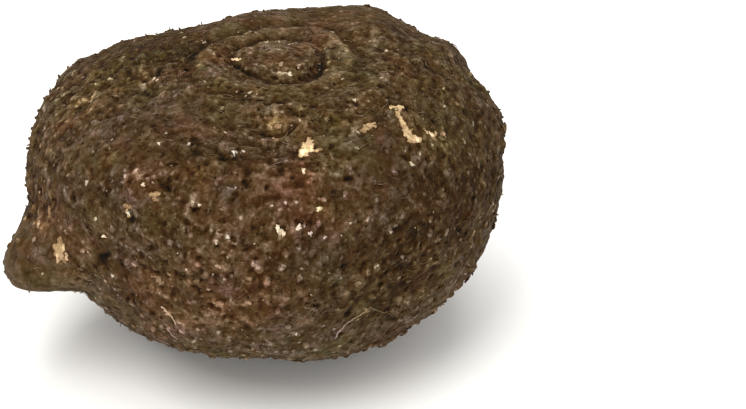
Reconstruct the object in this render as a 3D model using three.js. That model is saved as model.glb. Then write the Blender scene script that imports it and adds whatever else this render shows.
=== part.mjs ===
// Elephant foot yam (Amorphophallus paeoniifolius): one whole corm.
//
// The corm grew as one solid piece, so it is one mesh: a squat, broad-shouldered
// tuber with a ringed bud scar in a level crown, a small side bud below it, one
// cormel knob low on the -X side, and a flat seat underneath.
//
// Millimetres, +Z up, -Y is the corm's front. The floor is z = 0, and the origin
// is the middle of the corm's plan on the floor.

import * as THREE from 'three';

// ---------------------------------------------------------------- dimensions

const CENTRE_HEIGHT = 80.0;      // core point that every radius is measured from
const HALF_WIDTH_X = 115.0;      // girth, half width left to right
const HALF_WIDTH_Y = 110.0;      // girth, half depth front to back
const RISE_TOP = 64.5;           // core point to the crown
const DROP_BOTTOM = 98.0;        // core point to the underside before the seat is cut
const SQUARENESS_TOP = 2.9;      // superellipse exponents: 2 is an ellipsoid
const SQUARENESS_BOTTOM = 2.15;

const ORIGIN_SHIFT = [3.49, -3.18];   // brings the plan's middle to x = y = 0

// The girth is uneven. These factors on the radius go round a line that leans
// 27 degrees above level, from +X through up to -X and on.
const LEAN = 27.0;
const BROAD_OUTLINE = [
  0.983, 1.076, 1.121, 1.071, 1.017, 1.003, 0.969, 0.889, 0.868, 0.809, 0.866, 0.922,
];
const FINE_OUTLINE = [
  1.002, 0.991, 0.995, 0.979, 0.991, 1.042, 1.006, 1.036, 1.033, 0.942, 0.918, 0.973,
  1.024, 1.057, 1.033, 1.000, 0.991, 0.993, 1.001, 0.998, 1.001, 1.002, 1.000, 0.995,
  1.003, 1.004, 0.999, 0.995, 0.996, 1.004, 1.000, 1.000, 1.000, 1.000, 1.000, 1.000,
  1.000, 1.000, 1.000, 1.000, 1.000, 1.000, 0.986, 0.989, 0.999, 1.008, 1.011, 1.008,
];
const FINE_OUTLINE_WIDTH = 0.30;

// broad lumps all over: [height, wave vector, phase]
const LUMPS = [
  [1.10, [4.1, -2.3, 1.7], 0.6],
  [1.00, [-2.6, 4.4, 2.9], 2.1],
  [0.90, [3.0, 3.6, -4.2], 4.4],
  [0.85, [-5.2, -1.1, 3.8], 1.3],
  [0.75, [1.6, -6.3, -3.1], 5.2],
  [0.70, [6.8, 2.2, 2.4], 3.4],
  [0.55, [-3.9, 7.1, -2.8], 0.2],
  [0.50, [2.7, -3.3, 8.0], 2.8],
  [0.45, [-8.3, 3.4, -4.6], 4.9],
  [0.42, [5.4, 8.6, 3.0], 1.8],
  [0.36, [9.6, -5.1, 5.5], 3.9],
  [0.32, [-6.2, -9.8, 4.9], 5.7],
];

// bud scar in the crown
const BUD_X = 9.0, BUD_Y = -5.0;
const CROWN_HEIGHT = 146.5;      // level ground round the bud
const CROWN_LEVEL_R = 36.0, CROWN_BLEND_R = 66.0;
const BUD_DOME = 2.4;
// the groove round the bud's disc, every 22.5 degrees from +X: it is widest and
// deepest at the front right, and pulls in at the front left
const GROOVE_RADIUS = [
  20.6, 22.0, 23.4, 24.6, 25.8, 26.4, 26.0, 25.2, 23.0, 20.2, 18.8, 20.4, 24.2, 25.4, 23.4, 21.0,
];
const GROOVE_DEPTH = [
  2.6, 1.8, 1.2, 1.0, 1.1, 1.3, 1.3, 1.2, 1.5, 2.2, 2.3, 2.3, 2.9, 3.6, 4.0, 3.5,
];
const GROOVE_WIDTH = [
  3.2, 2.8, 2.6, 2.6, 2.6, 2.6, 2.6, 2.6, 2.7, 2.8, 2.8, 2.9, 3.6, 4.6, 5.0, 4.2,
];
const RING_R = 34.5, RING_WIDTH = 4.2, RING_HEIGHT = 1.9;
const OUTER_GROOVE_R = 43.0, OUTER_GROOVE_WIDTH = 4.0, OUTER_GROOVE_DEPTH = 1.4;

// small ringed side buds: [centre, radius, ring height]
const SIDE_BUDS = [
  [[9.3, -61.5, 141.5], 15.6, 1.3],
  [[62.0, 52.0, 136.0], 12.0, 1.0],
  [[-66.0, 48.0, 132.0], 10.5, 0.9],
];

// soft bulges in the flanks: [centre, radius, height]
const BULGES = [
  [[-46.7, -84.4, 123.7], 15.0, 1.8],
  [[14.8, -95.6, 122.5], 16.0, 1.8],
  [[45.0, -95.0, 113.0], 13.0, 1.2],
  [[88.0, 40.0, 60.0], 26.0, 3.2],
  [[-20.0, 98.0, 70.0], 30.0, 3.0],
  [[-70.0, 72.0, 52.0], 20.0, 2.4],
];

// cormel knob: a swelling low on the left flank, in degrees seen from the core
// point. It eases out of the flank above and ends in a flat foot below.
const KNOB_AZIMUTH = 201.6, KNOB_SPREAD = 16.3, KNOB_SHARPNESS = 3.0;
const KNOB_TOP = [6.5, -11.3];   // elevations where it starts and where it is full
const KNOB_FOOT = [-13.3, -22.6];
const KNOB_HEIGHT = 23.7;        // mm
const KNOB_SLANT = -0.40;        // degrees of elevation for each degree round

// mesh: squares along each edge of the cube that the net starts from, and two
// places where the net is drawn closer: [direction, angle in degrees, strength]
const NET = 26;
const NET_PULLS = [
  [[0.13, -0.07, 0.99], 50.0, 0.58],
  [[-0.89, -0.36, -0.24], 34.0, 0.40],
];

const SKIN_COLOUR = 0x5a4632;

// ------------------------------------------------------------------ geometry

const clamp = (v, lo, hi) => Math.min(Math.max(v, lo), hi);
const smoothstep = (a, b, v) => {
  const t = clamp((v - a) / (b - a), 0, 1);
  return t * t * (3 - 2 * t);
};

// periodic Catmull-Rom curve through evenly spaced values
function roundCurve(values, angle) {
  const n = values.length;
  let t = (angle / (2 * Math.PI)) % 1;
  if (t < 0) t += 1;
  t *= n;
  const i = Math.floor(t) % n, f = t - Math.floor(t);
  const p0 = values[(i + n - 1) % n], p1 = values[i];
  const p2 = values[(i + 1) % n], p3 = values[(i + 2) % n];
  return 0.5 * (2 * p1 + (p2 - p0) * f + (2 * p0 - 5 * p1 + 4 * p2 - p3) * f * f
    + (3 * p1 - p0 - 3 * p2 + p3) * f * f * f);
}

// height of the knob above the flank
function knobHeight(d) {
  const round = THREE.MathUtils.radToDeg(Math.atan2(d[1], d[0]));
  const aside = ((((round - KNOB_AZIMUTH + 180) % 360) + 360) % 360) - 180;
  const level = THREE.MathUtils.radToDeg(Math.asin(clamp(d[2], -1, 1))) + KNOB_SLANT * aside;
  return KNOB_HEIGHT * smoothstep(...KNOB_TOP, level) * (1 - smoothstep(...KNOB_FOOT, level))
    * Math.exp(-((Math.abs(aside) / KNOB_SPREAD) ** KNOB_SHARPNESS));
}

// height of the bud scar's relief above the level crown
function budRelief(x, y) {
  const dx = x - BUD_X, dy = y - BUD_Y, a = Math.atan2(dy, dx);
  const rho = Math.hypot(dx, dy)
    * (1 + 0.035 * Math.cos(2 * a + 0.6) + 0.025 * Math.cos(3 * a - 1.1));
  const bell = (r, w) => Math.exp(-(((rho - r) / w) ** 2));
  const groove = roundCurve(GROOVE_RADIUS, a);
  let h = BUD_DOME * (1 - clamp(rho / (groove - 2.0), 0, 1) ** 2);
  h -= roundCurve(GROOVE_DEPTH, a) * bell(groove, roundCurve(GROOVE_WIDTH, a));
  h += RING_HEIGHT * bell(RING_R, RING_WIDTH);
  h -= (OUTER_GROOVE_DEPTH + 0.9 * Math.cos(a - 1.75)) * bell(OUTER_GROOVE_R, OUTER_GROOVE_WIDTH);
  return h;
}

const lean = THREE.MathUtils.degToRad(LEAN);
const LEAN_UP = [0, Math.sin(lean), Math.cos(lean)];
const LEAN_LINE = [0, -Math.cos(lean), Math.sin(lean)];
const dot = (a, b) => a[0] * b[0] + a[1] * b[1] + a[2] * b[2];

// skin point along the unit direction d from the core point
function skin(d) {
  const h = Math.hypot(d[0] / HALF_WIDTH_X, d[1] / HALF_WIDTH_Y);
  const up = d[2] > 0, n = up ? SQUARENESS_TOP : SQUARENESS_BOTTOM;
  let r = (h ** n + (Math.abs(d[2]) / (up ? RISE_TOP : DROP_BOTTOM)) ** n) ** (-1 / n);

  const along = dot(d, LEAN_LINE);
  const round = Math.atan2(dot(d, LEAN_UP), d[0]);
  r *= 1 + (roundCurve(BROAD_OUTLINE, round) - 1) * (1 - along * along)
    + (roundCurve(FINE_OUTLINE, round) - 1) * Math.exp(-((along / FINE_OUTLINE_WIDTH) ** 2));

  for (const [amp, k, phase] of LUMPS) r += amp * Math.sin(dot(d, k) + phase);

  const at = (radius) => [d[0] * radius, d[1] * radius, CENTRE_HEIGHT + d[2] * radius];
  const p = at(r);
  for (const [c, radius, height] of BULGES) {
    const q = (p[0] - c[0]) ** 2 + (p[1] - c[1]) ** 2 + (p[2] - c[2]) ** 2;
    r += height * Math.exp(-q / (radius * radius));
  }
  for (const [c, radius, height] of SIDE_BUDS) {
    const q = Math.hypot(p[0] - c[0], p[1] - c[1], p[2] - c[2]);
    r += height * Math.exp(-(((q - radius * 0.86) / (radius * 0.20)) ** 2))
      - 0.9 * height * Math.exp(-((q / (radius * 0.62)) ** 2));
  }

  const crown = smoothstep(0.35, 0.6, d[2]);
  if (crown > 0) {
    const s = at(r);
    const rho = Math.hypot(s[0] - BUD_X, s[1] - BUD_Y);
    const level = 1 - smoothstep(CROWN_LEVEL_R, CROWN_BLEND_R, rho);
    r += (crown * level * (CROWN_HEIGHT - s[2])) / Math.max(d[2], 0.3);
    r += crown * budRelief(p[0], p[1]);
  }

  r += knobHeight(d);

  const [x, y, z] = at(r);
  return [x + ORIGIN_SHIFT[0], y + ORIGIN_SHIFT[1], Math.max(z, 0)];   // flat seat at z = 0
}

// draws directions nearer to an axis, leaving those beyond its reach alone
function pull(d, [axisRaw, reachDeg, strength]) {
  const axis = new THREE.Vector3(...axisRaw).normalize();
  const v = new THREE.Vector3(...d);
  const reach = THREE.MathUtils.degToRad(reachDeg);
  const angle = Math.acos(clamp(v.dot(axis), -1, 1));
  if (angle >= reach || angle < 1e-9) return d;
  const u = angle / reach;
  const f = (1 - strength) * (u ** 3 - 2 * u * u + u) - u ** 3 + 2 * u * u;
  const side = v.addScaledVector(axis, -v.dot(axis)).normalize();
  return axis.clone().multiplyScalar(Math.cos(f * reach))
    .addScaledVector(side, Math.sin(f * reach)).normalize().toArray();
}

// closed net: six square grids on a cube, blown out to directions, with shared edges
function corm() {
  const positions = [], index = [], seen = new Map();
  const line = Array.from({ length: NET + 1 },
    (_, i) => Math.tan(-Math.PI / 4 + (i * Math.PI) / (2 * NET)));
  const faces = [
    (a, b) => [1, a, b], (a, b) => [-1, -a, b], (a, b) => [-a, 1, b],
    (a, b) => [a, -1, b], (a, b) => [-b, a, 1], (a, b) => [b, a, -1],
  ];
  const vertex = (c) => {
    const key = c.map((v) => Math.round(v * 1e6)).join(',');
    if (!seen.has(key)) {
      const l = Math.hypot(...c);
      let d = c.map((v) => v / l);
      for (const p of NET_PULLS) d = pull(d, p);
      seen.set(key, positions.length / 3);
      positions.push(...skin(d));
    }
    return seen.get(key);
  };
  for (const face of faces) {
    for (let j = 0; j < NET; j++) {
      for (let i = 0; i < NET; i++) {
        const q00 = vertex(face(line[i], line[j])), q10 = vertex(face(line[i + 1], line[j]));
        const q01 = vertex(face(line[i], line[j + 1])), q11 = vertex(face(line[i + 1], line[j + 1]));
        index.push(q00, q10, q11, q00, q11, q01);
      }
    }
  }
  const geometry = new THREE.BufferGeometry();
  geometry.setAttribute('position', new THREE.Float32BufferAttribute(positions, 3));
  geometry.setIndex(index);
  geometry.computeVertexNormals();
  return geometry;
}

// ------------------------------------------------------------------ the part

const material = new THREE.MeshStandardMaterial({
  name: 'corm_skin', color: SKIN_COLOUR, roughness: 0.85, metalness: 0.0,
});
const mesh = new THREE.Mesh(corm(), material);
mesh.name = 'corm';

const yam = new THREE.Group();
yam.name = 'elephant_foot_yam';
yam.add(mesh);

export default yam;
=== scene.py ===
import math

import bpy
import numpy as np
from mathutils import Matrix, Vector
from mathutils.bvhtree import BVHTree
from mathutils.kdtree import KDTree


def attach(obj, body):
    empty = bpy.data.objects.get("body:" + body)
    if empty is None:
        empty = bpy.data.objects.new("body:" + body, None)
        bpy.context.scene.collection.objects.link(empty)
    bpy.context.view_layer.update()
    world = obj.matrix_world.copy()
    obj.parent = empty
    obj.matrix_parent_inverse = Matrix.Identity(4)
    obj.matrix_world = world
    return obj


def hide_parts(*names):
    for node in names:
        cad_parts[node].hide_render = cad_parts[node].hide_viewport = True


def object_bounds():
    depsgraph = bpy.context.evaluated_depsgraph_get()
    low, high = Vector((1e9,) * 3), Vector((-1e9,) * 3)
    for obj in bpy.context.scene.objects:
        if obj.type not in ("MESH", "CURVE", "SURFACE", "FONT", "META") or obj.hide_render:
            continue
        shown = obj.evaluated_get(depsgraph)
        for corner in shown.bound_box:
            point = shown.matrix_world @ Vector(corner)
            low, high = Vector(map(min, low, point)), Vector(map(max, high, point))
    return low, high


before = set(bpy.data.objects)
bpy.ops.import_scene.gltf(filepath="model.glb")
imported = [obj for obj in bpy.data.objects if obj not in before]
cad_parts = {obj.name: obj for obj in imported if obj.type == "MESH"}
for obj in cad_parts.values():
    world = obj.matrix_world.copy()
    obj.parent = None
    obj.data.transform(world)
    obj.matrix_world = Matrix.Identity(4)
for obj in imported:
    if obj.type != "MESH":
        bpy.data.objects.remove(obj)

CAD_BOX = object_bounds()
MM = 0.001
SHIFT = np.array([3.49, -3.18, 0.0])      # the form's own middle to the frame's origin, mm


def here(*p):
    """A point of the form's own layout, in the frame, mm."""
    return np.array(p, float) + SHIFT


# =====================================================================
#  Noise
# =====================================================================
_rs = np.random.RandomState(41723)
_PERM = _rs.permutation(256).astype(np.int64)
_GRAD = _rs.normal(size=(256, 3))
_GRAD /= np.linalg.norm(_GRAD, axis=1)[:, None]
_JIT = _rs.uniform(0, 1, size=(256, 3))


def _hash(ix, iy, iz, seed):
    return _PERM[(_PERM[(_PERM[(ix + seed * 31) & 255] + iy) & 255] + iz) & 255]


def perlin(P, seed=0):
    """Gradient noise, about -0.7 to 0.7."""
    i = np.floor(P).astype(np.int64)
    f = P - i
    u = f * f * f * (f * (f * 6 - 15) + 10)
    out = np.zeros(len(P))
    for dx in (0, 1):
        for dy in (0, 1):
            for dz in (0, 1):
                g = _GRAD[_hash(i[:, 0] + dx, i[:, 1] + dy, i[:, 2] + dz, seed)]
                v = (f - (dx, dy, dz))
                w = ((u[:, 0] if dx else 1 - u[:, 0])
                     * (u[:, 1] if dy else 1 - u[:, 1])
                     * (u[:, 2] if dz else 1 - u[:, 2]))
                out += w * (g * v).sum(1)
    return out


def fbm(P, size, octaves=3, gain=0.5, seed=0):
    out = np.zeros(len(P))
    amp, s = 1.0, 1.0 / size
    for k in range(octaves):
        out += amp * perlin(P * s + 17.3 * k, seed + k)
        amp *= gain
        s *= 2.03
    return out


def cells(P, seed=0):
    """Distances to the nearest and next nearest scattered points, and the nearest one's number."""
    i = np.floor(P).astype(np.int64)
    f = P - i
    f1 = np.full(len(P), 9.0)
    f2 = np.full(len(P), 9.0)
    who = np.zeros(len(P), np.int64)
    for dx in (-1, 0, 1):
        for dy in (-1, 0, 1):
            for dz in (-1, 0, 1):
                h = _hash(i[:, 0] + dx, i[:, 1] + dy, i[:, 2] + dz, seed)
                d = np.linalg.norm(_JIT[h] + (dx, dy, dz) - f, axis=1)
                near = d < f1
                f2 = np.where(near, f1, np.minimum(f2, d))
                who = np.where(near, h, who)
                f1 = np.where(near, d, f1)
    return f1, f2, who


def sstep(a, b, x):
    t = np.clip((x - a) / (b - a), 0, 1)
    return t * t * (3 - 2 * t)


# =====================================================================
#  The corm's form: the same radii as the CAD part's
# =====================================================================
CZ = 80.0
HX, HY = 115.0, 110.0
RISE, DROP = 64.5, 98.0
SQ_TOP, SQ_BOT = 2.9, 2.15
LEAN = math.radians(27.0)
LUP = np.array([0, math.sin(LEAN), math.cos(LEAN)])
LLINE = np.array([0, -math.cos(LEAN), math.sin(LEAN)])
BROAD = np.array([0.983, 1.076, 1.121, 1.071, 1.017, 1.003, 0.969, 0.889, 0.868, 0.809, 0.866, 0.922])
FINE = np.array([
    1.002, 0.991, 0.995, 0.979, 0.991, 1.042, 1.006, 1.036, 1.033, 0.942, 0.918, 0.973,
    1.024, 1.057, 1.033, 1.000, 0.991, 0.993, 1.001, 0.998, 1.001, 1.002, 1.000, 0.995,
    1.003, 1.004, 0.999, 0.995, 0.996, 1.004, 1.000, 1.000, 1.000, 1.000, 1.000, 1.000,
    1.000, 1.000, 1.000, 1.000, 1.000, 1.000, 0.986, 0.989, 0.999, 1.008, 1.011, 1.008])
LUMPS = [
    (1.10, (4.1, -2.3, 1.7), 0.6), (1.00, (-2.6, 4.4, 2.9), 2.1), (0.90, (3.0, 3.6, -4.2), 4.4),
    (0.85, (-5.2, -1.1, 3.8), 1.3), (0.75, (1.6, -6.3, -3.1), 5.2), (0.70, (6.8, 2.2, 2.4), 3.4),
    (0.55, (-3.9, 7.1, -2.8), 0.2), (0.50, (2.7, -3.3, 8.0), 2.8), (0.45, (-8.3, 3.4, -4.6), 4.9),
    (0.42, (5.4, 8.6, 3.0), 1.8), (0.36, (9.6, -5.1, 5.5), 3.9), (0.32, (-6.2, -9.8, 4.9), 5.7)]
BUD = (9.0, -5.0)
CROWN_Z = 146.5
SIDE_BUDS = [((9.3, -61.5, 141.5), 15.6, 1.3), ((62.0, 52.0, 136.0), 12.0, 1.0), ((-66.0, 48.0, 132.0), 10.5, 0.9)]
BULGES = [
    ((-46.7, -84.4, 123.7), 15.0, 1.8), ((14.8, -95.6, 122.5), 16.0, 1.8), ((45.0, -95.0, 113.0), 13.0, 1.2),
    ((88.0, 40.0, 60.0), 26.0, 3.2), ((-20.0, 98.0, 70.0), 30.0, 3.0), ((-70.0, 72.0, 52.0), 20.0, 2.4)]
# the cormel knob, in degrees seen from the core point
KNOB_AZIMUTH, KNOB_SPREAD, KNOB_SHARPNESS = 201.6, 16.3, 3.0
KNOB_TOP, KNOB_FOOT = (6.5, -11.3), (-13.3, -22.6)
KNOB_HEIGHT, KNOB_SLANT = 23.7, -0.40


def round_curve(vals, psi):
    n = len(vals)
    t = (psi / (2 * np.pi)) % 1 * n
    i = np.floor(t).astype(int) % n
    f = t - np.floor(t)
    p0, p1, p2, p3 = vals[(i - 1) % n], vals[i], vals[(i + 1) % n], vals[(i + 2) % n]
    return 0.5 * (2 * p1 + (p2 - p0) * f + (2 * p0 - 5 * p1 + 4 * p2 - p3) * f * f
                  + (3 * p1 - p0 - 3 * p2 + p3) * f ** 3)


def knob_height(d):
    aside = (np.degrees(np.arctan2(d[:, 1], d[:, 0])) - KNOB_AZIMUTH + 540) % 360 - 180
    level = np.degrees(np.arcsin(np.clip(d[:, 2], -1, 1))) + KNOB_SLANT * aside
    return KNOB_HEIGHT * sstep(*KNOB_TOP, level) * (1 - sstep(*KNOB_FOOT, level)) \
        * np.exp(-(np.abs(aside) / KNOB_SPREAD) ** KNOB_SHARPNESS)


def bud_polar(x, y):
    dx, dy = x - BUD[0], y - BUD[1]
    a = np.arctan2(dy, dx)
    rho = np.hypot(dx, dy) * (1 + 0.035 * np.cos(2 * a + 0.6) + 0.025 * np.cos(3 * a - 1.1))
    return rho, a


# the groove round the disc: its radius, depth and width every 22.5 degrees from +X
GROOVE_AT = np.array([20.6, 22.0, 23.4, 24.6, 25.8, 26.4, 26.0, 25.2, 23.0, 20.2, 18.8, 20.4, 24.2, 25.4, 23.4, 21.0])
GROOVE_DEEP = np.array([2.6, 1.8, 1.2, 1.0, 1.1, 1.3, 1.3, 1.2, 1.5, 2.2, 2.3, 2.3, 2.9, 3.6, 4.0, 3.5])
GROOVE_WIDE = np.array([3.2, 2.8, 2.6, 2.6, 2.6, 2.6, 2.6, 2.6, 2.7, 2.8, 2.8, 2.9, 3.6, 4.6, 5.0, 4.2])


def bud_relief(x, y):
    rho, a = bud_polar(x, y)
    mid, deep, wide = round_curve(GROOVE_AT, a), round_curve(GROOVE_DEEP, a), round_curve(GROOVE_WIDE, a)
    h = 2.4 * (1 - np.clip(rho / (mid - 2.0), 0, 1) ** 2)
    h -= deep * np.exp(-((rho - mid) / wide) ** 2)
    h += 1.9 * np.exp(-((rho - 34.5) / 4.2) ** 2)
    h -= (1.4 + 0.9 * np.cos(a - 1.75)) * np.exp(-((rho - 43.0) / 4.0) ** 2)
    return h


def skin(d):
    """Skin points along unit directions, mm in the form's own layout, and the knob's height there."""
    h = np.hypot(d[:, 0] / HX, d[:, 1] / HY)
    az = np.abs(d[:, 2])
    r = np.where(d[:, 2] > 0, (h ** SQ_TOP + (az / RISE) ** SQ_TOP) ** (-1 / SQ_TOP),
                 (h ** SQ_BOT + (az / DROP) ** SQ_BOT) ** (-1 / SQ_BOT))
    along = d @ LLINE
    turn = np.arctan2(d @ LUP, d[:, 0])
    r = r * (1 + (round_curve(BROAD, turn) - 1) * (1 - along ** 2)
             + (round_curve(FINE, turn) - 1) * np.exp(-(along / 0.30) ** 2))
    for amp, k, ph in LUMPS:
        r = r + amp * np.sin(d @ np.array(k) + ph)
    core = np.array([0, 0, CZ])
    p = d * r[:, None] + core
    for c, R, hh in BULGES:
        r = r + hh * np.exp(-((p - np.array(c)) ** 2).sum(1) / (R * R))
    for c, R, hh in SIDE_BUDS:
        q = np.linalg.norm(p - np.array(c), axis=1)
        r = r + hh * np.exp(-((q - R * 0.86) / (R * 0.20)) ** 2) - 0.9 * hh * np.exp(-(q / (R * 0.62)) ** 2)
    crown = sstep(0.35, 0.6, d[:, 2])
    s = d * r[:, None] + core
    level = 1 - sstep(36.0, 66.0, np.hypot(s[:, 0] - BUD[0], s[:, 1] - BUD[1]))
    r = r + crown * level * (CROWN_Z - s[:, 2]) / np.maximum(d[:, 2], 0.3)
    r = r + crown * bud_relief(p[:, 0], p[:, 1])
    knob = knob_height(d)
    return d * (r + knob)[:, None] + core, knob


def pull(d, axis, reach, strength):
    axis = np.array(axis, float)
    axis /= np.linalg.norm(axis)
    reach = math.radians(reach)
    c = np.clip(d @ axis, -1, 1)
    th = np.arccos(c)
    u = np.clip(th / reach, 0, 1)
    nt = reach * ((1 - strength) * (u ** 3 - 2 * u * u + u) - u ** 3 + 2 * u * u)
    t = d - c[:, None] * axis
    n = np.linalg.norm(t, axis=1)
    t = t / np.where(n < 1e-12, 1, n)[:, None]
    out = np.cos(nt)[:, None] * axis + np.sin(nt)[:, None] * t
    return np.where((th < reach)[:, None], out, d)


def net(n):
    """Directions of a closed net of quads, its faces, and a map for each face's corners."""
    line = np.tan(np.linspace(-np.pi / 4, np.pi / 4, n + 1))
    a, b = np.meshgrid(line, line)
    a, b, o = a.ravel(), b.ravel(), np.ones((n + 1) ** 2)
    pts = np.concatenate([np.stack(f, 1) for f in (
        (o, a, b), (-o, -a, b), (-a, o, b), (a, -o, b), (-b, a, o), (b, a, -o))])
    _, first, back = np.unique(np.round(pts * 1e6).astype(np.int64), axis=0,
                               return_index=True, return_inverse=True)
    back = back.reshape(-1)
    pts = pts[first]
    d = pts / np.linalg.norm(pts, axis=1)[:, None]
    j, i = np.meshgrid(np.arange(n), np.arange(n), indexing="ij")
    q = (j * (n + 1) + i).ravel()
    quads, uvs = [], []
    s = np.linspace(0, 1, n + 1)
    ss, tt = np.meshgrid(s, s)
    ss, tt = ss.ravel(), tt.ravel()
    pad = 0.012
    for f in range(6):
        base = f * (n + 1) ** 2
        corner = np.stack([q, q + 1, q + n + 2, q + n + 1], 1)
        quads.append(back[corner + base])
        u = (f % 3 + pad + (1 - 2 * pad) * ss) / 3
        v = (f // 3 + pad + (1 - 2 * pad) * tt) / 2
        uvs.append(np.stack([u[corner], v[corner]], -1))
    return d, np.concatenate(quads), np.concatenate(uvs)


def vertex_normals(p, quads):
    n = np.cross(p[quads[:, 2]] - p[quads[:, 0]], p[quads[:, 3]] - p[quads[:, 1]])
    out = np.zeros_like(p)
    for k in range(4):
        for ax in range(3):
            out[:, ax] += np.bincount(quads[:, k], n[:, ax], len(p))
    return out / np.maximum(np.linalg.norm(out, axis=1), 1e-12)[:, None]


def neighbour_mean(vals, quads, times=1):
    """Each vertex's value as the mean over the quads round it."""
    v = vals if vals.ndim == 2 else vals[:, None]
    count = np.maximum(sum(np.bincount(quads[:, k], minlength=len(v)) for k in range(4)), 1)
    for _ in range(times):
        face = v[quads].mean(1)
        v = np.stack([sum(np.bincount(quads[:, k], face[:, ax], len(v)) for k in range(4)) / count
                      for ax in range(v.shape[1])], 1)
    return v if vals.ndim == 2 else v[:, 0]


# =====================================================================
#  Root scars: where they sit
# =====================================================================
def bud_distance(P):
    """Distance over the skin from the bud's middle, about, mm."""
    q = P - here(BUD[0], BUD[1], 0)
    rise = np.clip(150.0 - P[:, 2], 0, None)
    return np.hypot(np.hypot(q[:, 0], q[:, 1]), 0.75 * rise)


def scar_zone(P, knob):
    """How thickly root scars grow at each point."""
    want = sstep(62, 96, bud_distance(P))
    clump = 0.5 + 1.1 * fbm(P, 46.0, 2, seed=11)
    lower = sstep(128, 96, P[:, 2])
    want = want * np.clip(0.40 + 0.55 * lower + 0.55 * (clump - 0.5), 0.08, 1)
    # the left front flank is smoother, and so is the knob
    smooth = np.exp(-((P - here(-75, -66, 108)) ** 2).sum(1) / 34.0 ** 2)
    want *= 1 - 0.75 * smooth
    want *= 1 - 0.6 * sstep(1.5, 9, knob)
    return want * sstep(1.5, 6, P[:, 2])


def scatter_scars():
    rs = np.random.RandomState(904)
    d = rs.normal(size=(15000, 3))
    d /= np.linalg.norm(d, axis=1)[:, None]
    P, knob = skin(d)
    P = P + SHIFT
    want = scar_zone(P, knob)
    gap = 5.6 + 9.0 * (1 - want) ** 1.3
    keep, grid = [], {}
    chance = rs.uniform(size=len(P))
    for i in range(len(P)):
        if chance[i] > want[i] or P[i, 2] < 2.5:
            continue
        c = tuple(np.floor(P[i] / 15.0).astype(int))
        ok = True
        for x in (-1, 0, 1):
            for y in (-1, 0, 1):
                for z in (-1, 0, 1):
                    for j in grid.get((c[0] + x, c[1] + y, c[2] + z), ()):
                        if ((P[i] - P[j]) ** 2).sum() < gap[i] ** 2:
                            ok = False
        if ok:
            keep.append(i)
            grid.setdefault(c, []).append(i)
    keep = np.array(keep)
    size = (0.82 + 1.22 * rs.uniform(0, 1, len(keep)) ** 1.55) * (0.85 + 0.25 * want[keep])
    return d[keep], P[keep], size


SCAR_D, SCAR_P, SCAR_R = scatter_scars()

# =====================================================================
#  The corm's skin
# =====================================================================
N = 128
DIR, QUADS, UV = net(N)
DIR = pull(DIR, (0.10, -0.30, 0.95), 150.0, 0.22)
DIR = pull(DIR, (0.13, -0.07, 0.99), 46.0, 0.30)
DIR = pull(DIR, (-0.90, -0.36, -0.24), 34.0, 0.25)

P0, KNOB = skin(DIR)
P0 = P0 + SHIFT
flat = P0[:, 2] < 0
BASE = P0.copy()
BASE[:, 2] = np.maximum(BASE[:, 2], 0)
NRM = vertex_normals(BASE, QUADS)

rho, ang = bud_polar(P0[:, 0] - SHIFT[0], P0[:, 1] - SHIFT[1])
top = sstep(0.30, 0.62, DIR[:, 2])
rho = np.where(top > 0, rho, 200.0)
far = bud_distance(P0)

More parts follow.
